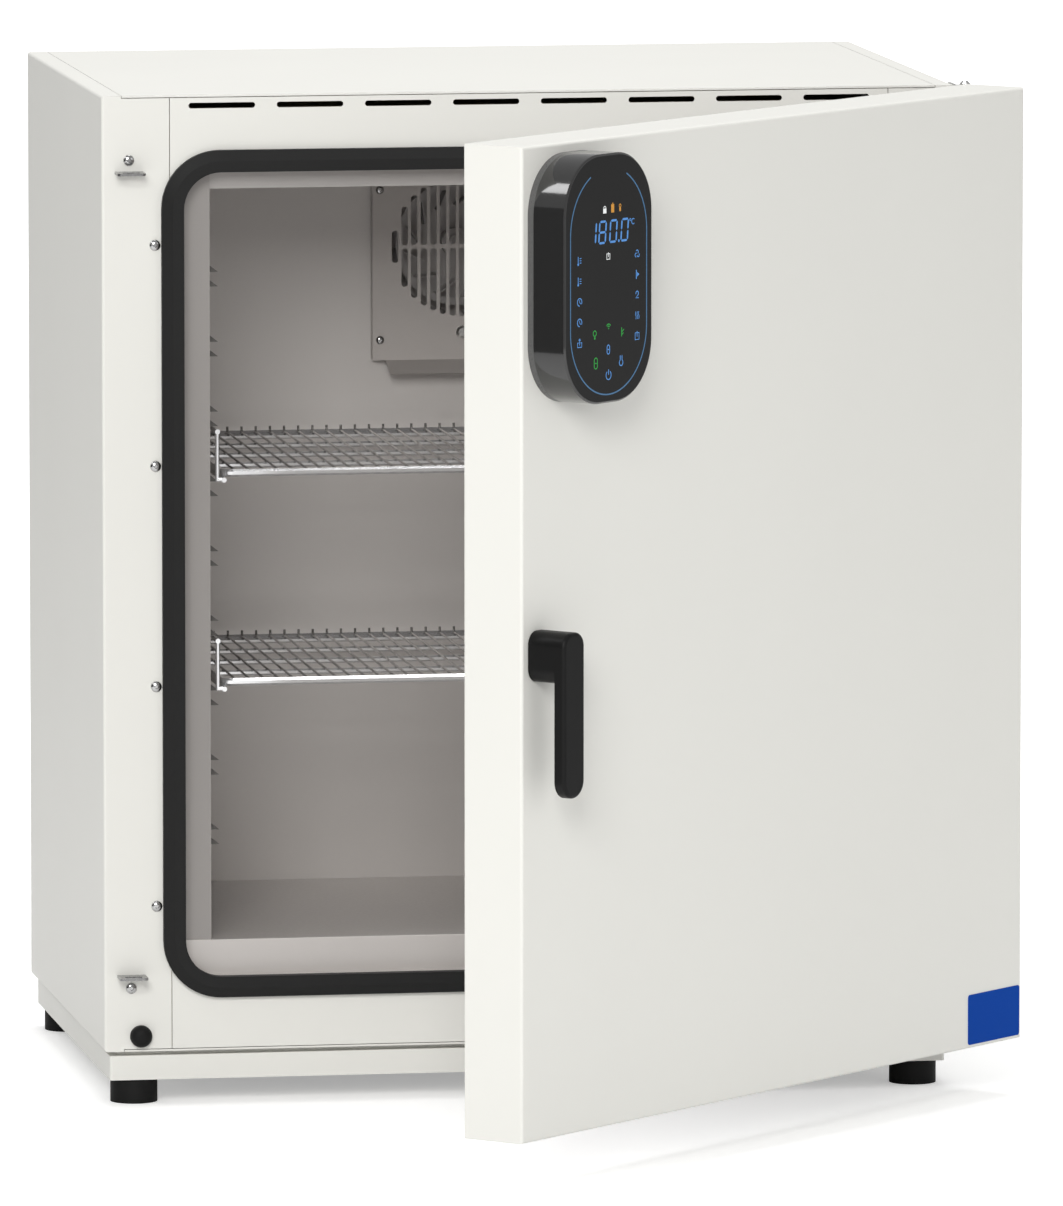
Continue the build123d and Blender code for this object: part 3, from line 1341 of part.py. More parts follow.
def build():
    """Every node of the oven, by name."""
    nodes = {
        "rubber_feet": rubber_feet(),
        "foot_studs": foot_studs(),
        "base_tray": base_tray(),
        "left_side_panel": left_side_panel(),
        "right_side_panel": right_side_panel(),
        "top_panel": top_panel(),
        "bottom_panel": bottom_panel(),
        "rear_panel": rear_panel(),
        "front_frame": front_frame(),
        "door_seal": door_seal(),
        "chamber_liner": chamber_liner(),
        "floor_panel": floor_panel(),
        "ceiling_panel": ceiling_panel(),
        "left_rack_panel": rack_panel(),
        "fan_cover": fan_cover(),
        "cover_screws": cover_screws(),
        "temperature_probe": temperature_probe(),
        "heater_element": heater_element(),
        "fan_impeller": fan_impeller(),
        "fan_shaft": fan_shaft(),
        "motor_bracket": motor_bracket(),
        "fan_motor": fan_motor(),
        "front_screws": front_screws(),
        "rear_screws": rear_screws(),
        "door_bumper": door_bumper(),
        "hinge_pins": hinge_pins(),
        "exhaust_duct": exhaust_duct(),
        "power_inlet": power_inlet(),
        "power_board": power_board(),
        "insulation_wrap": insulation_wrap(),
        "insulation_rear": insulation_rear(),
    }
    nodes["right_rack_panel"] = mirrored(nodes["left_rack_panel"])
    for name, level in zip(SHELF_NAMES, SHELF_LEVELS):
        left = runner(level)
        nodes[f"{name}_runner_left"] = left
        nodes[f"{name}_runner_right"] = mirrored(left)
        nodes[f"{name}_shelf_frame"] = shelf_frame(level)
        nodes[f"{name}_shelf_wires"] = shelf_wires(level)
    for name, (z, sign) in zip(("upper", "lower"), keeper_places()):
        nodes[f"{name}_keeper"] = keeper(z, sign)
    for name, z in zip(("lower", "upper"), hinge_heights()):
        nodes[f"{name}_hinge_case_leaf"] = case_leaf(z)
        nodes[f"{name}_hinge_door_leaf"] = door_pose(door_leaf(z))
    for name, (tip, sign) in zip(("upper", "lower"), bolt_ends()):
        nodes[f"{name}_lock_bolt"] = door_pose(lock_bolt(tip, sign))
    on_door = {
        "door_shell": door_shell(),
        "door_inner_panel": door_inner_panel(),
        "door_plug_pan": door_plug_pan(),
        "door_insulation": door_insulation(),
        "lock_bracket": lock_bracket(),
        "spindle_bush": spindle_bush(),
        "handle_lever": handle_lever(),
        "handle_spindle": handle_spindle(),
        "control_base": control_base(),
        "control_housing": control_housing(),
        "control_glass": control_glass(),
        "display_board": display_board(),
    }
    for name, shape in on_door.items():
        nodes[name] = door_pose(shape)
    return nodes


def main():
    """Writes one STEP file per node."""
    os.makedirs("parts", exist_ok=True)
    for name, shape in build().items():
        export_step(shape, f"parts/{name}.step")


if __name__ == "__main__":
    main()
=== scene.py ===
"""Looks of the drying oven.

Finishes, smooth shelf wires, screw heads, the lit control face and the studio.
"""

import json
import logging
import math
from collections.abc import Iterable, Sequence
from dataclasses import dataclass, field, replace
from enum import Enum

import bmesh
import bpy
from mathutils import Matrix, Vector

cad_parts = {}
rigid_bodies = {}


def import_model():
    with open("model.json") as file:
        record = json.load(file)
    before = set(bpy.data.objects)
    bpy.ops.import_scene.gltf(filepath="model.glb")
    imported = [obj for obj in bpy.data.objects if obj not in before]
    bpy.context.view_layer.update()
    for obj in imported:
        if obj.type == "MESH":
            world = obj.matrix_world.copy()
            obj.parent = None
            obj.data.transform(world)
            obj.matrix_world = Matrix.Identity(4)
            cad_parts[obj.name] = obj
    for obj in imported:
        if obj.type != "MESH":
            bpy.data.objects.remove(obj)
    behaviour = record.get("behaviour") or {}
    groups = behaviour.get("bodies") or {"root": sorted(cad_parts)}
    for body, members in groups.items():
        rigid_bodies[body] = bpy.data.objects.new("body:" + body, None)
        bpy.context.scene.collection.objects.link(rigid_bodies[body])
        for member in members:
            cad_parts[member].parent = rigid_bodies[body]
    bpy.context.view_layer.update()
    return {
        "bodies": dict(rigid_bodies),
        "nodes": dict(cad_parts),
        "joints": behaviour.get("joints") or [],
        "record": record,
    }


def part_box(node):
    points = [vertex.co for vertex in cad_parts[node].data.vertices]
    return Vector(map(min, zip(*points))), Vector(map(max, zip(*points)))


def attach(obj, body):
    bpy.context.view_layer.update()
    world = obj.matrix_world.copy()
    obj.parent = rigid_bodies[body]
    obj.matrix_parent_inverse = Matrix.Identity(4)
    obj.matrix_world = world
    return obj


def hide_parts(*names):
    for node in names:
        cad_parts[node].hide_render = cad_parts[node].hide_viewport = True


log = logging.getLogger("oven")

MM = 0.001

# Points nearer to each other than this are one, in metres
WELD = 1e-6

# The part of a noise factor's range in which nearly all its values lie
NOISE_LOW = 0.3
NOISE_HIGH = 0.7

# The clouds in a surface's tone: cells per metre, and octaves of detail
CLOUD_SCALE = 6.0
CLOUD_DETAIL = 2.0
STUDIO_CLOUD_SCALE = 3.0

# The least roughness of a finish, and the roughness of a clear coat and of a lit symbol
LEAST_ROUGH = 0.02
COAT_ROUGH = 0.08
LIT_ROUGH = 0.3

# How a lit symbol's strength varies across it
FLICKER_SCALE = 700.0
FLICKER = 0.15

Colour = tuple[float, float, float]
Place = tuple[float, float, float]
Point = tuple[float, float]

WHITE: Colour = (1.0, 1.0, 1.0)


class Side(Enum):
    """The way a screw's head faces along Y."""

    FRONT = -1
    REAR = 1


class Glow(Enum):
    """The colours of the lit symbols behind the control glass."""

    WHITE = (0.78, 0.80, 0.80)
    AMBER = (0.55, 0.25, 0.03)
    BLUE = (0.08, 0.26, 0.62)
    RING = (0.05, 0.14, 0.27)
    GREEN = (0.015, 0.30, 0.04)


class Shader:
    """A small helper that fills one material's node tree."""

    def __init__(self, name: str) -> None:
        """Starts a material with a principled shader.

        Args:
            name: The material's name.
        """
        self.material = bpy.data.materials.new(name)
        self.material.use_nodes = True
        self.tree = self.material.node_tree
        self.bsdf = self.tree.nodes["Principled BSDF"]
        coords = self.add("ShaderNodeTexCoord")
        self.coords = coords.outputs["Object"]

    def add(self, kind: str, **values: object) -> bpy.types.Node:
        """Adds a node.

        Args:
            kind: The node's type name.
            **values: Properties to set on it.

        Returns:
            The new node.
        """
        node = self.tree.nodes.new(kind)
        for key, value in values.items():
            setattr(node, key, value)
        return node

    def link(self, source: bpy.types.NodeSocket, target: bpy.types.NodeSocket) -> None:
        """Links an output to an input."""
        self.tree.links.new(source, target)

    def set(self, socket: str, value: object) -> None:
        """Sets an input of the principled shader by its name."""
        self.bsdf.inputs[socket].default_value = value

    def noise(
        self, scale: float, detail: float = 3.0, stretch: Place | None = None
    ) -> bpy.types.NodeSocket:
        """Adds noise in the object's own coordinates.

        Args:
            scale: Cells per metre.
            detail: The octaves of detail.
            stretch: A factor for each axis, or None for even noise.

        Returns:
            The noise's factor output.
        """
        noise = self.add("ShaderNodeTexNoise")
        noise.inputs["Scale"].default_value = scale
        noise.inputs["Detail"].default_value = detail
        source = self.coords
        if stretch is not None:
            mapping = self.add("ShaderNodeMapping")
            mapping.inputs["Scale"].default_value = stretch
            self.link(source, mapping.inputs["Vector"])
            source = mapping.outputs["Vector"]
        self.link(source, noise.inputs["Vector"])
        return noise.outputs["Fac"]

    def ranged(
        self, source: bpy.types.NodeSocket, low: float, high: float
    ) -> bpy.types.NodeSocket:
        """Maps a noise factor onto a range.

        Args:
            source: The factor.
            low: The result at NOISE_LOW.
            high: The result at NOISE_HIGH.

        Returns:
            The mapped output.
        """
        node = self.add("ShaderNodeMapRange")
        node.inputs["From Min"].default_value = NOISE_LOW
        node.inputs["From Max"].default_value = NOISE_HIGH
        node.inputs["To Min"].default_value = low
        node.inputs["To Max"].default_value = high
        self.link(source, node.inputs["Value"])
        return node.outputs["Result"]

    def tinted(self, source: bpy.types.NodeSocket, one: Colour, other: Colour) -> None:
        """Colours the surface between two tints.

        Args:
            source: The factor between them.
            one: The tint at 0.
            other: The tint at 1.
        """
        mix = self.add("ShaderNodeMix", data_type="RGBA")
        mix.inputs["A"].default_value = (*one, 1.0)
        mix.inputs["B"].default_value = (*other, 1.0)
        self.link(source, mix.inputs["Factor"])
        self.link(mix.outputs["Result"], self.bsdf.inputs["Base Color"])

    def bumped(self, source: bpy.types.NodeSocket, strength: float, distance: float) -> None:
        """Adds a fine relief.

        Args:
            source: The height.
            strength: The share of it that shows.
            distance: Its depth in metres.
        """
        bump = self.add("ShaderNodeBump")
        bump.inputs["Strength"].default_value = strength
        bump.inputs["Distance"].default_value = distance
        self.link(source, bump.inputs["Height"])
        self.link(bump.outputs["Normal"], self.bsdf.inputs["Normal"])


@dataclass(frozen=True)
class Finish:
    """A surface with grain, tone and relief of its own."""

    name: str
    colour: Colour
    rough: float
    metallic: float = 0.0
    tone: float = 0.04
    grain: float = 900.0
    relief: float = 0.05
    depth: float = 0.0001
    stretch: Place | None = None
    coat: float = 0.0
    specular: float = 0.5
    rough_spread: float = 0.05
    anisotropy: float = 0.0

    def material(self) -> bpy.types.Material:
        """Builds the finish, or gives the one already built.

        Returns:
            The material.
        """
        name = f"look_{self.name}"
        found = bpy.data.materials.get(name)
        if found is not None:
            return found
        shader = Shader(name)
        grain = shader.noise(self.grain, stretch=self.stretch)
        cloud = shader.noise(CLOUD_SCALE, CLOUD_DETAIL)
        dark = tuple(max(0.0, c * (1 - self.tone)) for c in self.colour)
        light = tuple(min(1.0, c * (1 + self.tone)) for c in self.colour)
        shader.tinted(cloud, dark, light)
        low = max(LEAST_ROUGH, self.rough - self.rough_spread)
        roughness = shader.ranged(grain, low, self.rough + self.rough_spread)
        shader.link(roughness, shader.bsdf.inputs["Roughness"])
        shader.set("Metallic", self.metallic)
        shader.set("Specular IOR Level", self.specular)
        shader.set("Coat Weight", self.coat)
        shader.set("Coat Roughness", COAT_ROUGH)
        shader.set("Anisotropic", self.anisotropy)
        shader.bumped(grain, self.relief, self.depth)
        return shader.material


@dataclass(frozen=True)
class LitFinish:
    """A symbol lit from behind the glass."""

    glow: Glow
    strength: float = 1.0
    unlit: float = 0.1

    def material(self) -> bpy.types.Material:
        """Builds the lit material, or gives the one already built.

        Returns:
            The material.
        """
        name = f"lit_{self.glow.name.lower()}"
        found = bpy.data.materials.get(name)
        if found is not None:
            return found
        shader = Shader(name)
        weak = self.strength * (1 - FLICKER)
        strong = self.strength * (1 + FLICKER)
        flicker = shader.ranged(shader.noise(FLICKER_SCALE), weak, strong)
        shader.set("Base Color", (*(c * self.unlit for c in self.glow.value), 1.0))
        shader.set("Roughness", LIT_ROUGH)
        shader.set("Emission Color", (*self.glow.value, 1.0))
        shader.link(flicker, shader.bsdf.inputs["Emission Strength"])
        return shader.material


def grey(level: float) -> Colour:
    """Gives the neutral colour of a lightness from 0 to 1."""
    return level, level, level


PAINT = Finish("white_paint", (0.765, 0.76, 0.72), 0.42, tone=0.012, grain=1400.0)
DOOR_PAINT = replace(PAINT, name="door_paint", colour=(0.77, 0.765, 0.725), rough=0.40)
STEEL = Finish(
    "rack_steel",
    (0.33, 0.312, 0.30),
    0.42,
    metallic=0.45,
    grain=260.0,
    relief=0.03,
    stretch=(1.0, 1.0, 14.0),
    anisotropy=0.3,
)
LINER_STEEL = Finish(
    "liner_steel", (0.58, 0.552, 0.532), 0.40, metallic=0.45, grain=300.0, relief=0.03
)
CEILING_STEEL = replace(LINER_STEEL, name="ceiling_steel", colour=(0.38, 0.362, 0.35))
COVER_STEEL = replace(LINER_STEEL, name="cover_steel", colour=(0.47, 0.44, 0.42), rough=0.42)
# A dark copy of the liner steel: painted shade on the front faces of the rack panels' lugs
PAINTED_SHADE_STEEL = replace(
    LINER_STEEL, name="lug_steel", colour=(0.10, 0.095, 0.09), rough=0.45, metallic=0.5
)
CHROME = Finish(
    "wire_chrome", (0.86, 0.86, 0.87), 0.12, metallic=0.8, tone=0.03, rough_spread=0.03
)
WIRE_STEEL = Finish("thin_wire_steel", (0.26, 0.25, 0.24), 0.25, metallic=0.9, tone=0.06)
SCREW_CHROME = Finish("screw_chrome", grey(0.50), 0.16, metallic=1.0, rough_spread=0.03)
PLATED = Finish("plated_steel", (0.62, 0.62, 0.61), 0.30, metallic=1.0, grain=500.0)
SEAL = Finish("seal_rubber", grey(0.011), 0.55, tone=0.1, relief=0.06, specular=0.22)
RUBBER = Finish(
    "foot_rubber", grey(0.009), 0.55, tone=0.1, grain=1200.0, relief=0.08, specular=0.15
)
HANDLE = Finish(
    "handle_plastic", grey(0.007), 0.42, tone=0.1, grain=2600.0, relief=0.12, specular=0.16
)
HOUSING = Finish("housing_plastic", grey(0.020), 0.12, tone=0.1, coat=0.5, specular=0.6)
BASE = Finish("base_plastic", grey(0.09), 0.30, tone=0.1)
GLASS = Finish("control_glass", grey(0.010), 0.12, tone=0.1, relief=0.0, specular=0.3)
WOOL = Finish(
    "mineral_wool", (0.40, 0.33, 0.20), 0.95, tone=0.15, grain=220.0, relief=0.6, depth=0.002
)
BOARD = Finish("circuit_board", (0.03, 0.14, 0.07), 0.5, tone=0.1)
PLATE = Finish("blue_plate", (0.0005, 0.052, 0.34), 0.40, tone=0.03, grain=1800.0, specular=0.04)
ALLOY = Finish("fan_alloy", (0.46, 0.44, 0.43), 0.40, metallic=0.35)
KEEPER_STEEL = Finish("keeper_steel", grey(0.30), 0.28, metallic=0.9, grain=500.0)

NODE_FINISHES: dict[Finish, tuple[str, ...]] = {
    PAINT: ("side_panel", "top_panel", "bottom_panel", "rear_panel", "front_frame", "base_tray"),
    DOOR_PAINT: ("door_shell",),
    STEEL: ("rack_panel",),
    CEILING_STEEL: ("ceiling_panel",),
    COVER_STEEL: ("fan_cover",),
    LINER_STEEL: (
        "chamber_liner", "floor_panel", "door_inner_panel", "door_plug_pan", "exhaust_duct",
    ),
    CHROME: ("shelf_frame", "runner", "shelf_wires"),
    SCREW_CHROME: ("_screws",),
    PLATED: (
        "hinge", "bolt", "lock_bracket", "spindle", "fan_motor", "motor_bracket",
        "foot_studs", "temperature_probe",
    ),
    KEEPER_STEEL: ("keeper",),
    SEAL: ("door_seal",),
    RUBBER: ("rubber_feet", "door_bumper"),
    HANDLE: ("handle_lever", "power_inlet", "spindle_bush"),
    HOUSING: ("control_housing",),
    BASE: ("control_base",),
    GLASS: ("control_glass",),
    WOOL: ("insulation",),
    BOARD: ("board",),
    ALLOY: ("fan_impeller", "fan_shaft", "heater"),
}


def finish_of(node: str) -> Finish:
    """Picks the finish of a node by its name.

    Args:
        node: The node's name.

    Returns:
        The finish whose key word in the name is the longest.
    """
    found = [
        (len(key), finish)
        for finish, keys in NODE_FINISHES.items()
        for key in keys
        if key in node
    ]
    return max(found, key=lambda pair: pair[0])[1] if found else PLATED


def new_object(name: str, data: bpy.types.ID) -> bpy.types.Object:
    """Puts a mesh, curve, light or camera into the scene.

    Args:
        name: The object's name.
        data: What it shows.

    Returns:
        The new object.
    """
    obj = bpy.data.objects.new(name, data)
    bpy.context.scene.collection.objects.link(obj)
    return obj


def from_bmesh(name: str, bm: bmesh.types.BMesh) -> bpy.types.Object:
    """Turns a bmesh into an object of the scene and frees it.

    Args:
        name: The object's name.
        bm: The bmesh.

    Returns:
        The new object.
    """
    mesh = bpy.data.meshes.new(name)
    bm.to_mesh(mesh)
    bm.free()
    return new_object(name, mesh)


def corners(points: Iterable[Vector]) -> tuple[Vector, Vector]:
    """Gives the lowest and the highest corner of the box round some points."""
    axes = list(zip(*points))
    return Vector([min(axis) for axis in axes]), Vector([max(axis) for axis in axes])


def baked(obj: bpy.types.Object, name: str) -> bpy.types.Object:
    """Turns an object with modifiers into a plain mesh object and removes the old one.

    Args:
        obj: The object to evaluate.
        name: The new object's name.

    Returns:
        The plain object.
    """
    graph = bpy.context.evaluated_depsgraph_get()
    mesh = bpy.data.meshes.new_from_object(obj.evaluated_get(graph))
    bpy.data.objects.remove(obj)
    mesh.name = name
    return new_object(name, mesh)


def report(piece: bpy.types.Object) -> None:
    """Logs a finished piece with its size and finishes."""
    mesh = piece.data
    finishes = ", ".join(material.name for material in mesh.materials if material)
    log.info("%s: %d faces, %s", piece.name, len(mesh.polygons), finishes)


def smooth(obj: bpy.types.Object, angle: float) -> None:
    """Shades an object smooth but for its sharp edges.

    Args:
        obj: The object.
        angle: The sharpest angle that stays smooth, in degrees.
    """
    mesh = obj.data
    bm = bmesh.new()
    bm.from_mesh(mesh)
    for face in bm.faces:
        face.smooth = True
    for edge in bm.edges:
        if len(edge.link_faces) == 2:
            edge.smooth = edge.calc_face_angle(0.0) < math.radians(angle)
    bm.to_mesh(mesh)
    bm.free()


def islands(obj: bpy.types.Object) -> list[tuple[Vector, Vector]]:
    """Finds the box of each separate solid in a node.

    Args:
        obj: A CAD node's object.

    Returns:
        The lowest and highest corner of each solid.
    """
    bm = bmesh.new()
    bm.from_mesh(obj.data)
    bmesh.ops.remove_doubles(bm, verts=bm.verts, dist=WELD)
    seen: set[bmesh.types.BMVert] = set()
    boxes = []
    for start in bm.verts:
        if start in seen:
            continue
        group = [start]
        seen.add(start)
        for vert in group:
            for edge in vert.link_edges:
                other = edge.other_vert(vert)
                if other not in seen:
                    seen.add(other)
                    group.append(other)
        boxes.append(corners(v.co for v in group))
    bm.free()
    return boxes


class NodeTree:
    """A Geometry Nodes tree with named inputs, run on one object and baked."""

    def __init__(self, name: str) -> None:
        """Starts an empty tree.

        Args:
            name: The tree's name.
        """
        self.tree = bpy.data.node_groups.new(name, "GeometryNodeTree")
        for way in ("INPUT", "OUTPUT"):
            self.tree.interface.new_socket(
                "Geometry", in_out=way, socket_type="NodeSocketGeometry"
            )
        self.inputs = self.tree.nodes.new("NodeGroupInput")
        self.output = self.tree.nodes.new("NodeGroupOutput")
        self.values: dict[str, object] = {}

    def link(self, source: bpy.types.NodeSocket, target: bpy.types.NodeSocket) -> None:
        """Links an output to an input."""
        self.tree.links.new(source, target)

    def input(self, name: str, kind: str, value: object) -> bpy.types.NodeSocket:
        """Adds a named input.

        Args:
            name: The input's name.
            kind: The socket's type name.
            value: What it is set to.

        Returns:
            The input's socket inside the tree.
        """
        item = self.tree.interface.new_socket(name, in_out="INPUT", socket_type=kind)
        self.values[item.identifier] = value
        return self.inputs.outputs[name]

    def add(self, kind: str, **links: bpy.types.NodeSocket) -> bpy.types.Node:
        """Adds a node and links its inputs by name, with _ for a space.

        Args:
            kind: The node's type name.
            **links: The output to link to each input.

        Returns:
            The new node.
        """
        node = self.tree.nodes.new(kind)
        for key, source in links.items():
            self.link(source, node.inputs[key.replace("_", " ")])
        return node

    def bake(
        self, base: bpy.types.Object, geometry: bpy.types.NodeSocket, finish: Finish, name: str
    ) -> bpy.types.Object:
        """Ends the tree, runs it on an object and bakes the result.

        Args:
            base: The object that feeds the tree.
            geometry: The geometry to realize.
            finish: The finish of the result.
            name: The result's name.

        Returns:
            The plain object.
        """
        material = self.input("Material", "NodeSocketMaterial", finish.material())
        real = self.add("GeometryNodeRealizeInstances", Geometry=geometry)
        done = self.add("GeometryNodeSetMaterial", Geometry=real.outputs[0], Material=material)
        self.link(done.outputs[0], self.output.inputs[0])
        modifier = base.modifiers.new("tree", "NODES")
        modifier.node_group = self.tree
        for identifier, value in self.values.items():
            modifier[identifier] = value
        return baked(base, name)


@dataclass(frozen=True)
class DoorPlace:
    """The door's own frame, in which it is closed, and the way to its place at rest."""

    matrix: Matrix

    @classmethod
    def from_frame(cls, frame: dict) -> "DoorPlace":
        """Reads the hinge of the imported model.

        Args:
            frame: The loaded frame.

        Returns:
            The door's place.
        """
        joints = frame["record"]["behaviour"]["joints"]
        joint = next(j for j in joints if j["name"] == "door_hinge")
        turn = Matrix.Rotation(-math.radians(joint["range_deg"][0]), 4, "Z")
        axis = Matrix.Translation(Vector(joint["pos_m"]))
        return cls(axis @ turn @ axis.inverted())

    def box(self, obj: bpy.types.Object) -> tuple[Vector, Vector]:
        """Gives the lowest and the highest corner of a node in the closed door's frame."""
        back = self.matrix.inverted()
        return corners(back @ v.co for v in obj.data.vertices)

    def put(self, obj: bpy.types.Object) -> None:
        """Moves a piece's mesh from the closed door to the door at rest."""
        obj.data.transform(self.matrix)


@dataclass
class ShelfWires:
    """The lengthwise wires of one shelf, round and bent up at the rear."""

    node: str
    body: str
    pitch: float = 11.9 * MM
    diameter: float = 2.0 * MM
    bend: float = 2.0 * MM
    bend_steps: int = 5
    around: int = 12

    def path(self, low: Sequence[float], high: Sequence[float]) -> bpy.types.Object:
        """Draws the centre line of one wire.

        Args:
            low: The lowest corner of the node's box.
            high: Its highest corner.

        Returns:
            The curve's object.
        """
        radius = self.diameter / 2
        level = low[2] + radius
        curve = bpy.data.curves.new(f"{self.node}_path", "CURVE")
        curve.dimensions = "3D"
        spline = curve.splines.new("POLY")
        points = ((low[1], level), (high[1] - radius, level), (high[1] - radius, high[2]))
        spline.points.add(len(points) - 1)
        for point, (y, z) in zip(spline.points, points):
            point.co = (0.0, y, z, 1.0)
        return new_object(f"{self.node}_path", curve)

    def build(self) -> None:
        """Draws one bent wire and repeats it across the shelf."""
        low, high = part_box(self.node)
        radius = self.diameter / 2
        path = self.path(low, high)
        count = round((high[0] - low[0] - self.diameter) / self.pitch) + 1
        base = new_object(f"{self.node}_base", bpy.data.meshes.new("wires"))
        tree = NodeTree(f"{self.node}_tree")
        drawn = tree.input("Path", "NodeSocketObject", path)
        source = tree.add("GeometryNodeObjectInfo", Object=drawn)
        bend = tree.input("Bend radius", "NodeSocketFloat", self.bend)
        fillet = tree.add(
            "GeometryNodeFilletCurve", Curve=source.outputs["Geometry"], Radius=bend
        )
        fillet.mode = "POLY"
        bend_steps = tree.input("Bend steps", "NodeSocketInt", self.bend_steps)
        tree.link(bend_steps, fillet.inputs["Count"])
        wire_radius = tree.input("Wire radius", "NodeSocketFloat", radius)
        steps = tree.input("Around", "NodeSocketInt", self.around)
        circle = tree.add(
            "GeometryNodeCurvePrimitiveCircle", Resolution=steps, Radius=wire_radius
        )
        tube = tree.add(
            "GeometryNodeCurveToMesh",
            Curve=fillet.outputs["Curve"],
            Profile_Curve=circle.outputs["Curve"],
        )
        tube.inputs["Fill Caps"].default_value = True
        shaded = tree.add("GeometryNodeSetShadeSmooth", Geometry=tube.outputs["Mesh"])
        line = tree.add(
            "GeometryNodeMeshLine",
            Count=tree.input("Count", "NodeSocketInt", count),
            Start_Location=tree.input("Start", "NodeSocketVector", (low[0] + radius, 0.0, 0.0)),
            Offset=tree.input("Offset", "NodeSocketVector", (self.pitch, 0.0, 0.0)),
        )
        copies = tree.add(
            "GeometryNodeInstanceOnPoints",
            Points=line.outputs["Mesh"],
            Instance=shaded.outputs["Geometry"],
        )
        instances = copies.outputs["Instances"]
        wires = tree.bake(base, instances, WIRE_STEEL, f"{self.body}_round_wires")
        bpy.data.objects.remove(path)
        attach(wires, self.body)
        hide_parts(self.node)
        report(wires)


@dataclass
class ScrewHeads:
    """Domed screw heads with a cross recess, in place of a node's plain ones.

    The rim is a share of the head's rise, and the recess is in shares of its radius and rise.
    """

    node: str
    side: Side
    body: str = "casing"
    rise: float = 2.8 * MM
    rim: float = 0.25
    dome_steps: int = 7
    around: int = 28
    crease: float = 30.0
    recess_width: float = 0.16
    recess_reach: float = 0.52
    recess_depth: float = 0.45
    recess_taper: float = 0.55
    seed: int = 7

    def head(self, radius: float) -> bpy.types.Object:
        """Makes one head by turning its profile and cutting the cross.

        Args:
            radius: The head's radius in metres.

        Returns:
            The head, with its seat at the origin and its top towards +Z.
        """
        rim = self.rise * self.rim
        profile = [(0.0, 0.0), (radius, 0.0), (radius, rim)]
        for i in range(1, self.dome_steps + 1):
            angle = math.pi / 2 * i / self.dome_steps
            profile.append((radius * math.cos(angle), rim + (self.rise - rim) * math.sin(angle)))
        bm = bmesh.new()
        verts = [bm.verts.new((x, 0.0, z)) for x, z in profile]
        edges = [bm.edges.new(pair) for pair in zip(verts, verts[1:])]
        bmesh.ops.spin(
            bm,
            geom=verts + edges,
            axis=(0, 0, 1),
            cent=(0, 0, 0),
            steps=self.around,
            angle=2 * math.pi,
        )
        bmesh.ops.remove_doubles(bm, verts=bm.verts, dist=WELD)
        bmesh.ops.recalc_face_normals(bm, faces=bm.faces)
        head = from_bmesh("head", bm)
        cutter = self.cross(radius)
        cut = head.modifiers.new("recess", "BOOLEAN")
        cut.operation = "DIFFERENCE"
        cut.solver = "EXACT"
        # The cutter's two bars cross each other
        cut.use_self = True
        cut.object = cutter
        head = baked(head, "head")
        bpy.data.objects.remove(cutter)
        smooth(head, self.crease)
        return head

    def cross(self, radius: float) -> bpy.types.Object:
        """Makes the tapered cross that cuts the recess.

        Args:
            radius: The head's radius in metres.

        Returns:
            The cutter.
        """
        floor = self.rise * (1 - self.recess_depth)
        size = Vector((2 * radius * self.recess_reach, 2 * radius * self.recess_width, self.rise))
        bm = bmesh.new()
        for turn in (0.0, math.pi / 2):
            bar = bmesh.ops.create_cube(bm, size=1.0)["verts"]
            bmesh.ops.scale(bm, verts=bar, vec=size)
            for vert in bar:
                if vert.co.z < 0:
                    vert.co.x *= self.recess_taper
            bmesh.ops.translate(bm, verts=bar, vec=(0, 0, floor + self.rise / 2))
            spin = Matrix.Rotation(turn, 3, "Z")
            bmesh.ops.rotate(bm, verts=bar, cent=(0, 0, 0), matrix=spin)
        return from_bmesh("cross", bm)

    def build(self) -> None:
        """Puts a head, turned at random about its axis, on each place of the node."""
        boxes = islands(bpy.data.objects[self.node])
        sign = self.side.value
        width = max(high.x - low.x for low, high in boxes)
        head = self.head(width / 2)
        seats = []
        for low, high in boxes:
            middle = (low + high) / 2
            outer = low.y if self.side is Side.FRONT else high.y
            seats.append((middle.x, outer - sign * self.rise, middle.z))
        places = bpy.data.meshes.new("places")
        places.from_pydata(seats, [], [])
        base = new_object("places", places)
        tree = NodeTree(f"{self.node}_tree")
        shape = tree.input("Head", "NodeSocketObject", head)
        source = tree.add("GeometryNodeObjectInfo", Object=shape)
        turn = tree.add("FunctionNodeRandomValue")
        turn.data_type = "FLOAT"
        turn.inputs["Max"].default_value = math.pi
        tree.link(tree.input("Seed", "NodeSocketInt", self.seed), turn.inputs["Seed"])
        angles = tree.add("ShaderNodeCombineXYZ", Z=turn.outputs["Value"])
        local = tree.add("FunctionNodeEulerToRotation", Euler=angles.outputs[0])
        facing = tree.input("Facing", "NodeSocketVector", (-sign * math.pi / 2, 0.0, 0.0))
        lean = tree.add("FunctionNodeEulerToRotation", Euler=facing)
        both = tree.add("FunctionNodeRotateRotation")
        both.rotation_space = "LOCAL"
        tree.link(lean.outputs[0], both.inputs[0])
        tree.link(local.outputs[0], both.inputs[1])
        copies = tree.add(
            "GeometryNodeInstanceOnPoints",
            Points=tree.inputs.outputs["Geometry"],
            Instance=source.outputs["Geometry"],
            Rotation=both.outputs[0],
        )
        heads = tree.bake(base, copies.outputs["Instances"], SCREW_CHROME, f"{self.node}_heads")
        bpy.data.objects.remove(head)
        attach(heads, self.body)
        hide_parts(self.node)
        report(heads)


def polar(radius: float, degrees: float) -> Point:
    """Gives the point at a distance and an angle in degrees from the origin."""
    angle = math.radians(degrees)
    return radius * math.cos(angle), radius * math.sin(angle)


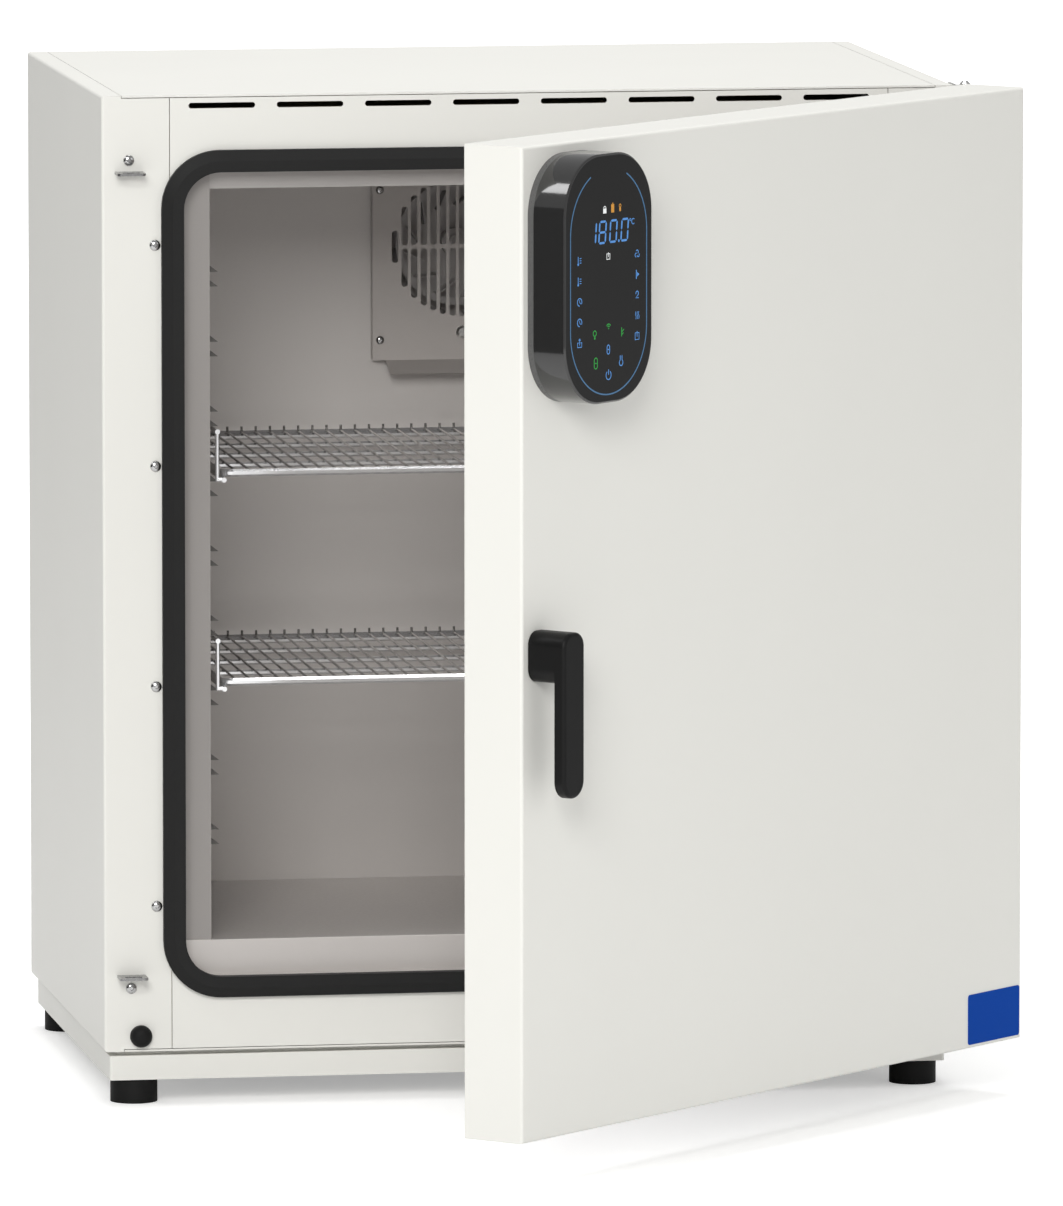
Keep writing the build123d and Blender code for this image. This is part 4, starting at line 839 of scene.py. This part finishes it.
def arc(
    centre: Point, radius: float, start: float, end: float, steps: int = 14
) -> tuple[Point, ...]:
    """Gives the points of an arc.

    Args:
        centre: Its centre.
        radius: Its radius.
        start: Its first angle in degrees.
        end: Its last angle in degrees.
        steps: The number of runs in it.

    Returns:
        The points.
    """
    spokes = (polar(radius, start + (end - start) * i / steps) for i in range(steps + 1))
    return tuple((centre[0] + x, centre[1] + z) for x, z in spokes)


def rectangle(left: float, bottom: float, right: float, top: float) -> tuple[Point, ...]:
    """Gives the corners of an upright rectangle in order."""
    return (left, bottom), (right, bottom), (right, top), (left, top)


class Stroke:
    """Flat ribbons and patches in the plane of the control face, in millimetres."""

    def __init__(self) -> None:
        """Starts with no shapes."""
        self.bm = bmesh.new()

    def line(self, points: Sequence[Point], width: float, closed: bool = False) -> None:
        """Draws a ribbon along points.

        Args:
            points: Its centre line.
            width: Its width.
            closed: True to join its ends.
        """
        count = len(points)
        rows = []
        for i, (x, z) in enumerate(points):
            before = points[i - 1] if i or closed else points[i]
            after = points[(i + 1) % count] if i < count - 1 or closed else points[i]
            along = Vector((after[0] - before[0], after[1] - before[1]))
            along = along.normalized() if along.length else Vector((1.0, 0.0))
            side = Vector((-along.y, along.x)) * (width / 2)
            ends = (1, -1)
            rows.append([self.bm.verts.new((x + s * side.x, 0, z + s * side.y)) for s in ends])
        pairs = list(zip(rows, rows[1:])) + ([(rows[-1], rows[0])] if closed else [])
        for one, other in pairs:
            self.bm.faces.new((one[0], one[1], other[1], other[0]))

    def patch(self, points: Iterable[Point]) -> None:
        """Fills an outline, given by its corners in order."""
        self.bm.faces.new([self.bm.verts.new((x, 0, z)) for x, z in points])

    def object(self, name: str, thickness: float) -> bpy.types.Object:
        """Makes a thin solid of the shapes.

        Args:
            name: The object's name.
            thickness: Its thickness in millimetres.

        Returns:
            The object, in metres, its back on the plane y = 0.
        """
        made = bmesh.ops.extrude_face_region(self.bm, geom=list(self.bm.faces))
        front = [v for v in made["geom"] if isinstance(v, bmesh.types.BMVert)]
        bmesh.ops.translate(self.bm, verts=front, vec=(0, -thickness, 0))
        bmesh.ops.scale(self.bm, verts=self.bm.verts, vec=(MM, MM, MM))
        bmesh.ops.recalc_face_normals(self.bm, faces=self.bm.faces)
        return from_bmesh(name, self.bm)


@dataclass(frozen=True)
class Mark:
    """A line or a filled patch of a symbol, in halves of its height about its centre.

    The weight is a share of the control face's usual line width.
    """

    points: tuple[Point, ...]
    weight: float = 1.0
    closed: bool = False
    filled: bool = False


THIN = 0.8
THICK = 1.3


class Symbol(Enum):
    """The generic symbols of the control face, each with its marks."""

    LOCK = (
        Mark(rectangle(-0.6, -1, 0.6, 0.1), filled=True),
        Mark(arc((0, 0.15), 0.42, 0, 180), THIN),
    )
    CELL = (
        Mark(rectangle(-0.55, -1, 0.55, 0.85), filled=True),
        Mark(rectangle(-0.2, 0.95, 0.2, 1.15), filled=True),
    )
    KEY = (
        Mark(arc((0, 0.45), 0.4, 0, 360), THIN),
        Mark(rectangle(-0.35, -1, 0.35, -0.05), filled=True),
    )
    GAUGE = (
        Mark(((-0.55, 1), (-0.55, -0.45))),
        Mark(arc((-0.55, -0.7), 0.28, 0, 360)[:-1], filled=True),
        *(Mark(((0.0, level), (0.65, level)), THIN) for level in (-0.4, 0.1, 0.6)),
    )
    CLOCK = (
        Mark(arc((0, 0), 0.85, -30, 270)),
        Mark(((0, 0.5), (0, 0), (0.45, -0.4)), THIN),
    )
    LIFT = (
        Mark(((-0.4, 0.1), (-0.8, 0.1), (-0.8, -0.9), (0.8, -0.9), (0.8, 0.1), (0.4, 0.1))),
        Mark(((0, -0.45), (0, 1.0))),
        Mark(((-0.35, 0.6), (0, 1.0), (0.35, 0.6)), THIN),
    )
    FAN = tuple(
        Mark(arc(polar(0.45, turn), 0.42, turn - 140, turn + 60)) for turn in (90, 210, 330)
    )
    DOOR = (
        Mark(((-0.3, 1), (-0.3, -1)), THICK),
        Mark(((0.0, 0.5), (0.8, 0.0), (0.0, -0.5)), filled=True),
    )
    HOOK = (Mark((*arc((0, 0.3), 0.5, 200, -40), (-0.5, -0.7), (0.6, -0.7))),)
    DROP = tuple(
        Mark(((x, 0.8), (x - 0.2, 0.2), (x + 0.15, -0.3), (x, -0.9)), THIN)
        for x in (-0.5, 0.1, 0.65)
    )
    TRAY = (
        Mark(rectangle(-0.75, -0.9, 0.75, 0.6), closed=True),
        Mark(((0, 1.0), (0, -0.3)), THIN),
    )
    LAMP = (
        Mark(arc((0, 0.3), 0.6, 0, 360)),
        Mark(rectangle(-0.25, -1, 0.25, -0.5), filled=True),
    )
    WAVES = (
        *(Mark(arc((0, -0.4), radius, 35, 145)) for radius in (0.45, 0.9)),
        Mark(arc((0, -0.5), 0.16, 0, 360)[:-1], filled=True),
    )
    BRANCH = (
        Mark(((-0.3, -1), (-0.3, 1))),
        Mark(((-0.3, 0.0), (0.6, 0.55))),
        Mark(((-0.3, -0.6), (0.4, -0.2))),
    )
    PILL = (
        Mark(arc((0, 0.5), 0.5, 0, 180) + arc((0, -0.5), 0.5, 180, 360), closed=True),
        Mark(((-0.25, 0), (0.25, 0))),
    )
    FLASK = (Mark(((-0.3, 1), (-0.3, 0.3), *arc((0, -0.4), 0.6, 120, 420), (0.3, 1))),)
    POWER = (
        Mark(arc((0, 0), 0.8, 125, 415)),
        Mark(((0, 1.05), (0, 0.1))),
    )


# The lit segments of each digit, from 0 to 9
DIGIT_SEGMENTS = (
    "abcdef", "bc", "abged", "abgcd", "fgbc", "afgcd", "afgedc", "abc", "abcdefg", "abfgcd",
)

# The reading: each digit with its centre across. All places are in mm about the glass's centre
READING = ((1, -21.5), (8, -8.3), (0, 6.3), (0, 21.5))

# The decimal point: its centre across and below the digits' centre, and its radius
POINT_ACROSS = 13.6
POINT_BELOW = 8.0
POINT_RADIUS = 1.1

# The reading's unit as a ring and an open ring: the centre and radius, and the line's width
DEGREE_RING = ((29.0, 43.4), 0.9)
DEGREE_LINE = 0.5
UNIT_RING = ((33.0, 41.9), 2.1)
UNIT_LINE = 0.7

# The lone symbols above and below the rows of keys: colour, centre across and up, and height
LONE_SYMBOLS_ABOVE = (
    (Symbol.LOCK, Glow.WHITE, -5.3, 54.2, 7.0),
    (Symbol.CELL, Glow.AMBER, 5.3, 54.2, 7.0),
    (Symbol.KEY, Glow.AMBER, 15.3, 54.0, 6.0),
    (Symbol.TRAY, Glow.WHITE, -0.5, 17.3, 5.6),
)
LONE_SYMBOLS_BELOW = (
    (Symbol.LAMP, Glow.GREEN, -18.7, -42.7, 7.0),
    (Symbol.WAVES, Glow.GREEN, -0.1, -37.4, 7.0),
    (Symbol.BRANCH, Glow.GREEN, 18.5, -43.2, 7.0),
    (Symbol.PILL, Glow.GREEN, -17.3, -65.0, 8.5),
    (Symbol.PILL, Glow.BLUE, -0.4, -55.5, 7.0),
    (Symbol.FLASK, Glow.BLUE, 16.8, -65.4, 8.0),
    (Symbol.POWER, Glow.BLUE, -0.1, -75.5, 8.5),
)

# The rows of keys from the top down: the symbol in the left and in the right column
KEY_ROWS = (
    (Symbol.GAUGE, Symbol.FAN),
    (Symbol.GAUGE, Symbol.DOOR),
    (Symbol.CLOCK, Symbol.HOOK),
    (Symbol.CLOCK, Symbol.DROP),
    (Symbol.LIFT, Symbol.TRAY),
)
KEY_COLUMNS = (-39.0, 38.4)
KEY_TOP = 16.0
KEY_PITCH = 15.9
KEY_HEIGHT = 7.0


@dataclass
class ControlFace:
    """The ring, digits and symbols lit behind the control glass, in millimetres.

    A digit's tip is a share of its stroke, and the gap beside it a share of the tip.
    """

    door: DoorPlace
    line: float = 0.75
    thickness: float = 0.12
    sunk: float = 0.04
    ring_inset: float = 5.9
    ring_width: float = 1.1
    ring_bottom: float = 4.7
    ring_gap: float = 24.0
    ring_top: float = 80.0
    ring_steps: int = 48
    ring_end_steps: int = 20
    digit_height: float = 16.5
    digit_width: float = 8.6
    digit_stroke: float = 1.7
    digit_tip: float = 0.62
    digit_gap: float = 0.35
    slant: float = 0.09
    digits_at: float = 36.2
    shapes: dict[Glow, Stroke] = field(default_factory=dict)

    def stroke(self, glow: Glow) -> Stroke:
        """Gives the shapes that are drawn in a colour."""
        return self.shapes.setdefault(glow, Stroke())

    def ring(self, half: float, bottom: float) -> None:
        """Draws the ring line, open at the top.

        Args:
            half: Half its width.
            bottom: Its lowest height.
        """
        rise = math.sqrt(half * half - self.ring_gap * self.ring_gap)
        top = (0.0, self.ring_top - rise)
        end = math.degrees(math.atan2(rise, self.ring_gap))
        points = arc(top, half, end, 0, self.ring_end_steps)
        points += arc((0.0, bottom + half), half, 0, -180, self.ring_steps)
        points += arc(top, half, 180, 180 - end, self.ring_end_steps)
        self.stroke(Glow.RING).line(points, self.ring_width)

    def digit(self, value: int, x: float, z: float) -> None:
        """Draws a seven-segment digit.

        Args:
            value: The digit.
            x: Its centre across.
            z: Its centre up.
        """
        w = self.digit_width / 2
        h = self.digit_height / 2
        ends = {
            "a": ((-w, h), (w, h)),
            "b": ((w, h), (w, 0)),
            "c": ((w, 0), (w, -h)),
            "d": ((w, -h), (-w, -h)),
            "e": ((-w, -h), (-w, 0)),
            "f": ((-w, 0), (-w, h)),
            "g": ((-w, 0), (w, 0)),
        }
        for name in DIGIT_SEGMENTS[value]:
            self.segment(ends[name], x, z)

    def segment(self, ends: tuple[Point, Point], x: float, z: float) -> None:
        """Draws one pointed segment of a digit, leaning to the right.

        Args:
            ends: The segment's corners about the digit's centre.
            x: The digit's centre across.
            z: The digit's centre up.
        """
        one, other = (Vector(end) for end in ends)
        along = (other - one).normalized()
        side = Vector((-along.y, along.x)) * (self.digit_stroke / 2)
        tip = self.digit_stroke * self.digit_tip
        one += along * (tip * self.digit_gap)
        other -= along * (tip * self.digit_gap)
        outline = (
            one,
            one + along * tip + side,
            other - along * tip + side,
            other,
            other - along * tip - side,
            one + along * tip - side,
        )
        pen = self.stroke(Glow.BLUE)
        pen.patch([(x + p.x + p.y * self.slant, z + p.y) for p in outline])

    def reading(self) -> None:
        """Draws the digits, the point between them and the unit."""
        for value, x in READING:
            self.digit(value, x, self.digits_at)
        pen = self.stroke(Glow.BLUE)
        point = (POINT_ACROSS, self.digits_at - POINT_BELOW)
        pen.patch(arc(point, POINT_RADIUS, 0, 330, 11))
        pen.line(arc(*DEGREE_RING, 0, 360), DEGREE_LINE)
        pen.line(arc(*UNIT_RING, 45, 315), UNIT_LINE)

    def symbol(self, kind: Symbol, glow: Glow, x: float, z: float, size: float) -> None:
        """Draws one symbol.

        Args:
            kind: Which one.
            glow: Its colour.
            x: Its centre across.
            z: Its centre up.
            size: Its height.
        """
        pen = self.stroke(glow)
        half = size / 2
        for mark in kind.value:
            points = [(x + px * half, z + pz * half) for px, pz in mark.points]
            if mark.filled:
                pen.patch(points)
            else:
                pen.line(points, self.line * mark.weight, mark.closed)

    def draw(self, half: float, bottom: float) -> None:
        """Draws the whole face about the centre of the glass.

        Args:
            half: Half the ring's width.
            bottom: The ring's lowest height.
        """
        self.ring(half, bottom)
        self.reading()
        for lone in LONE_SYMBOLS_ABOVE:
            self.symbol(*lone)
        for row, kinds in enumerate(KEY_ROWS):
            for kind, x in zip(kinds, KEY_COLUMNS):
                self.symbol(kind, Glow.BLUE, x, KEY_TOP - KEY_PITCH * row, KEY_HEIGHT)
        for lone in LONE_SYMBOLS_BELOW:
            self.symbol(*lone)

    def build(self) -> None:
        """Draws the face and lays it on the glass."""
        low, high = self.door.box(bpy.data.objects["control_glass"])
        size = (high - low) / MM
        self.draw(size.x / 2 - self.ring_inset, self.ring_bottom - size.z / 2)
        middle = (low + high) / 2
        place = Matrix.Translation((middle.x, low.y + self.sunk * MM, middle.z))
        for glow, shapes in self.shapes.items():
            piece = shapes.object(f"symbols_{glow.name.lower()}", self.thickness)
            piece.data.materials.append(LitFinish(glow).material())
            piece.data.transform(place)
            self.door.put(piece)
            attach(piece, "door")
            report(piece)


@dataclass
class BarePlate:
    """A plain coloured plate on the lower right of the door."""

    door: DoorPlace
    width: float = 75.0 * MM
    height: float = 41.0 * MM
    corner: float = 2.5 * MM
    corner_steps: int = 6
    thickness: float = 0.4 * MM
    from_edge: float = 3.0 * MM
    from_bottom: float = 3.0 * MM

    def build(self) -> None:
        """Lays the plate on the door's face."""
        low, high = self.door.box(bpy.data.objects["door_shell"])
        bm = bmesh.new()
        bmesh.ops.create_cube(bm, size=1.0)
        bmesh.ops.scale(bm, verts=bm.verts, vec=(self.width, self.thickness, self.height))
        half = self.thickness / 2
        through = [e for e in bm.edges if abs(e.verts[0].co.y - e.verts[1].co.y) > half]
        bmesh.ops.bevel(
            bm,
            geom=through,
            offset=self.corner,
            segments=self.corner_steps,
            affect="EDGES",
            profile=0.5,
        )
        plate = from_bmesh("bare_plate", bm)
        plate.data.materials.append(PLATE.material())
        x = high.x - self.from_edge - self.width / 2
        z = low.z + self.from_bottom + self.height / 2
        plate.data.transform(Matrix.Translation((x, low.y - half, z)))
        self.door.put(plate)
        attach(plate, "door")
        report(plate)


@dataclass(frozen=True)
class Camera:
    """The photograph's view: a long lens from the front left, a little above."""

    place: Place = (-1.9235, -11.8870, 1.7848)
    yaw: float = 9.376
    pitch: float = 6.664
    lens: float = 436.94
    sensor: float = 36.0
    reach: float = 60.0

    def build(self) -> None:
        """Puts the camera into the scene."""
        data = bpy.data.cameras.new("camera")
        data.lens = self.lens
        data.sensor_width = self.sensor
        data.clip_end = self.reach
        camera = new_object("camera", data)
        camera.location = self.place
        camera.rotation_euler = (math.radians(90 - self.pitch), 0.0, -math.radians(self.yaw))
        bpy.context.scene.camera = camera


@dataclass(frozen=True)
class SoftBox:
    """A square area light aimed at a point."""

    name: str
    place: Place
    aim: Place
    size: float
    power: float
    colour: Colour = WHITE

    def build(self) -> None:
        """Puts the light into the scene."""
        data = bpy.data.lights.new(self.name, "AREA")
        data.size = self.size
        data.energy = self.power
        data.color = self.colour
        light = new_object(self.name, data)
        light.location = self.place
        toward = Vector(self.aim) - Vector(self.place)
        light.rotation_euler = toward.to_track_quat("-Z", "Y").to_euler()


@dataclass(frozen=True)
class BlackCard:
    """An upright black card beside the oven, which only reflections show."""

    place: Place = (-2.6, -0.75, 0.65)
    width: float = 4.5
    height: float = 1.3
    tones: tuple[float, float] = (0.004, 0.006)

    def build(self) -> None:
        """Puts the card into the scene."""
        upright = Matrix.Rotation(math.pi / 2, 3, "Y")
        bm = bmesh.new()
        bmesh.ops.create_grid(bm, x_segments=1, y_segments=1, size=0.5)
        bmesh.ops.scale(bm, verts=bm.verts, vec=(self.height, self.width, 1.0))
        bmesh.ops.rotate(bm, verts=bm.verts, cent=(0, 0, 0), matrix=upright)
        bmesh.ops.translate(bm, verts=bm.verts, vec=self.place)
        card = from_bmesh("black_card", bm)
        shader = Shader("black_card")
        shader.tinted(shader.noise(STUDIO_CLOUD_SCALE), *map(grey, self.tones))
        shader.set("Specular IOR Level", 0.0)
        card.data.materials.append(shader.material)
        card.visible_camera = False
        card.visible_diffuse = False
        card.visible_shadow = False


@dataclass
class Studio:
    """A pale floor, a white world, soft lights and a black card.

    The floor glows to the camera from glow_near at glow_start metres to fully at glow_end.
    """

    floor_size: float = 60.0
    floor_tones: tuple[float, float] = (0.93, 0.96)
    floor_rough: float = 0.6
    glow_start: float = 0.5
    glow_end: float = 1.3
    glow_near: float = 0.35
    ambient: float = 0.42
    boxes: tuple[SoftBox, ...] = (
        SoftBox("key", (-1.4, -5.0, 2.6), (-0.1, 0.0, 0.3), 1.8, 144.0, (1.0, 0.995, 0.98)),
        SoftBox("fill", (3.4, -4.2, 1.6), (0.1, -0.4, 0.4), 2.6, 20.0),
        SoftBox("top", (0.2, 0.4, 4.0), (0.0, 0.0, 0.8), 2.0, 80.0),
        SoftBox("edge", (-2.3, -0.6, 2.7), (-0.1, -0.78, 0.78), 0.7, 11.0),
    )
    card: BlackCard = BlackCard()

    def build(self) -> None:
        """Builds the floor, the world, the lights and the card."""
        bm = bmesh.new()
        bmesh.ops.create_grid(bm, x_segments=1, y_segments=1, size=self.floor_size / 2)
        floor = from_bmesh("floor", bm)
        floor.data.materials.append(self.floor_material())
        self.world()
        for light in self.boxes:
            light.build()
        self.card.build()
        bpy.context.scene.view_settings.view_transform = "Standard"

    def floor_material(self) -> bpy.types.Material:
        """Makes the pale floor.

        Returns:
            The material.
        """
        shader = Shader("floor")
        shader.tinted(shader.noise(STUDIO_CLOUD_SCALE), *map(grey, self.floor_tones))
        shader.set("Roughness", self.floor_rough)
        shader.set("Emission Color", (*WHITE, 1.0))
        path = shader.add("ShaderNodeLightPath")
        distance = shader.add("ShaderNodeVectorMath", operation="LENGTH")
        shader.link(shader.coords, distance.inputs[0])
        far = shader.add("ShaderNodeMapRange", interpolation_type="SMOOTHSTEP")
        far.inputs["From Min"].default_value = self.glow_start
        far.inputs["From Max"].default_value = self.glow_end
        far.inputs["To Min"].default_value = self.glow_near
        shader.link(distance.outputs["Value"], far.inputs["Value"])
        seen = shader.add("ShaderNodeMath", operation="MULTIPLY")
        shader.link(far.outputs["Result"], seen.inputs[0])
        shader.link(path.outputs["Is Camera Ray"], seen.inputs[1])
        shader.link(seen.outputs["Value"], shader.bsdf.inputs["Emission Strength"])
        return shader.material

    def world(self) -> None:
        """Makes a world that is white to the camera and softer as light."""
        world = bpy.data.worlds.new("world")
        bpy.context.scene.world = world
        world.use_nodes = True
        nodes = world.node_tree.nodes
        links = world.node_tree.links
        back = nodes["Background"]
        path = nodes.new("ShaderNodeLightPath")
        strength = nodes.new("ShaderNodeMapRange")
        strength.inputs["To Min"].default_value = self.ambient
        strength.inputs["To Max"].default_value = 1.0
        back.inputs["Color"].default_value = (*WHITE, 1.0)
        links.new(path.outputs["Is Camera Ray"], strength.inputs["Value"])
        links.new(strength.outputs["Result"], back.inputs["Strength"])


@dataclass
class Oven:
    """The whole oven, dressed piece by piece.

    The lug ends of a rack panel, which get a painted shade, are its small faces whose normal
    points to the front: below lug_area in square metres, and with less than frontward along Y.
    """

    frame: dict
    lug_area: float = 100.0 * MM * MM
    frontward: float = -0.9

    def dress(self) -> None:
        """Gives every carried-over node its finish."""
        for name, obj in self.frame["nodes"].items():
            obj.data.materials.clear()
            obj.data.materials.append(finish_of(name).material())
            if "rack_panel" in name:
                self.shade_lugs(obj)
            report(obj)

    def shade_lugs(self, panel: bpy.types.Object) -> None:
        """Paints shade on the open ends of the pressed lugs on a rack panel with a dark steel.

        Args:
            panel: The rack panel's node.
        """
        shade = len(panel.data.materials)
        # Painted shade: a dark steel stands in for the shade on the lugs' front faces
        panel.data.materials.append(PAINTED_SHADE_STEEL.material())
        for face in panel.data.polygons:
            if face.normal.y < self.frontward and face.area < self.lug_area:
                face.material_index = shade

    def build(self) -> None:
        """Dresses the nodes and adds the pieces that only the looks need."""
        self.dress()
        for level in ("upper", "lower"):
            ShelfWires(f"{level}_shelf_wires", f"{level}_shelf").build()
        ScrewHeads("front_screws", Side.FRONT).build()
        ScrewHeads("cover_screws", Side.FRONT).build()
        ScrewHeads("rear_screws", Side.REAR).build()
        door = DoorPlace.from_frame(self.frame)
        ControlFace(door).build()
        BarePlate(door).build()


def main() -> None:
    """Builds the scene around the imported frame."""
    logging.basicConfig(level=logging.INFO)
    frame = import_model()
    Oven(frame).build()
    Studio().build()
    Camera().build()


if __name__ == "__main__":
    main()
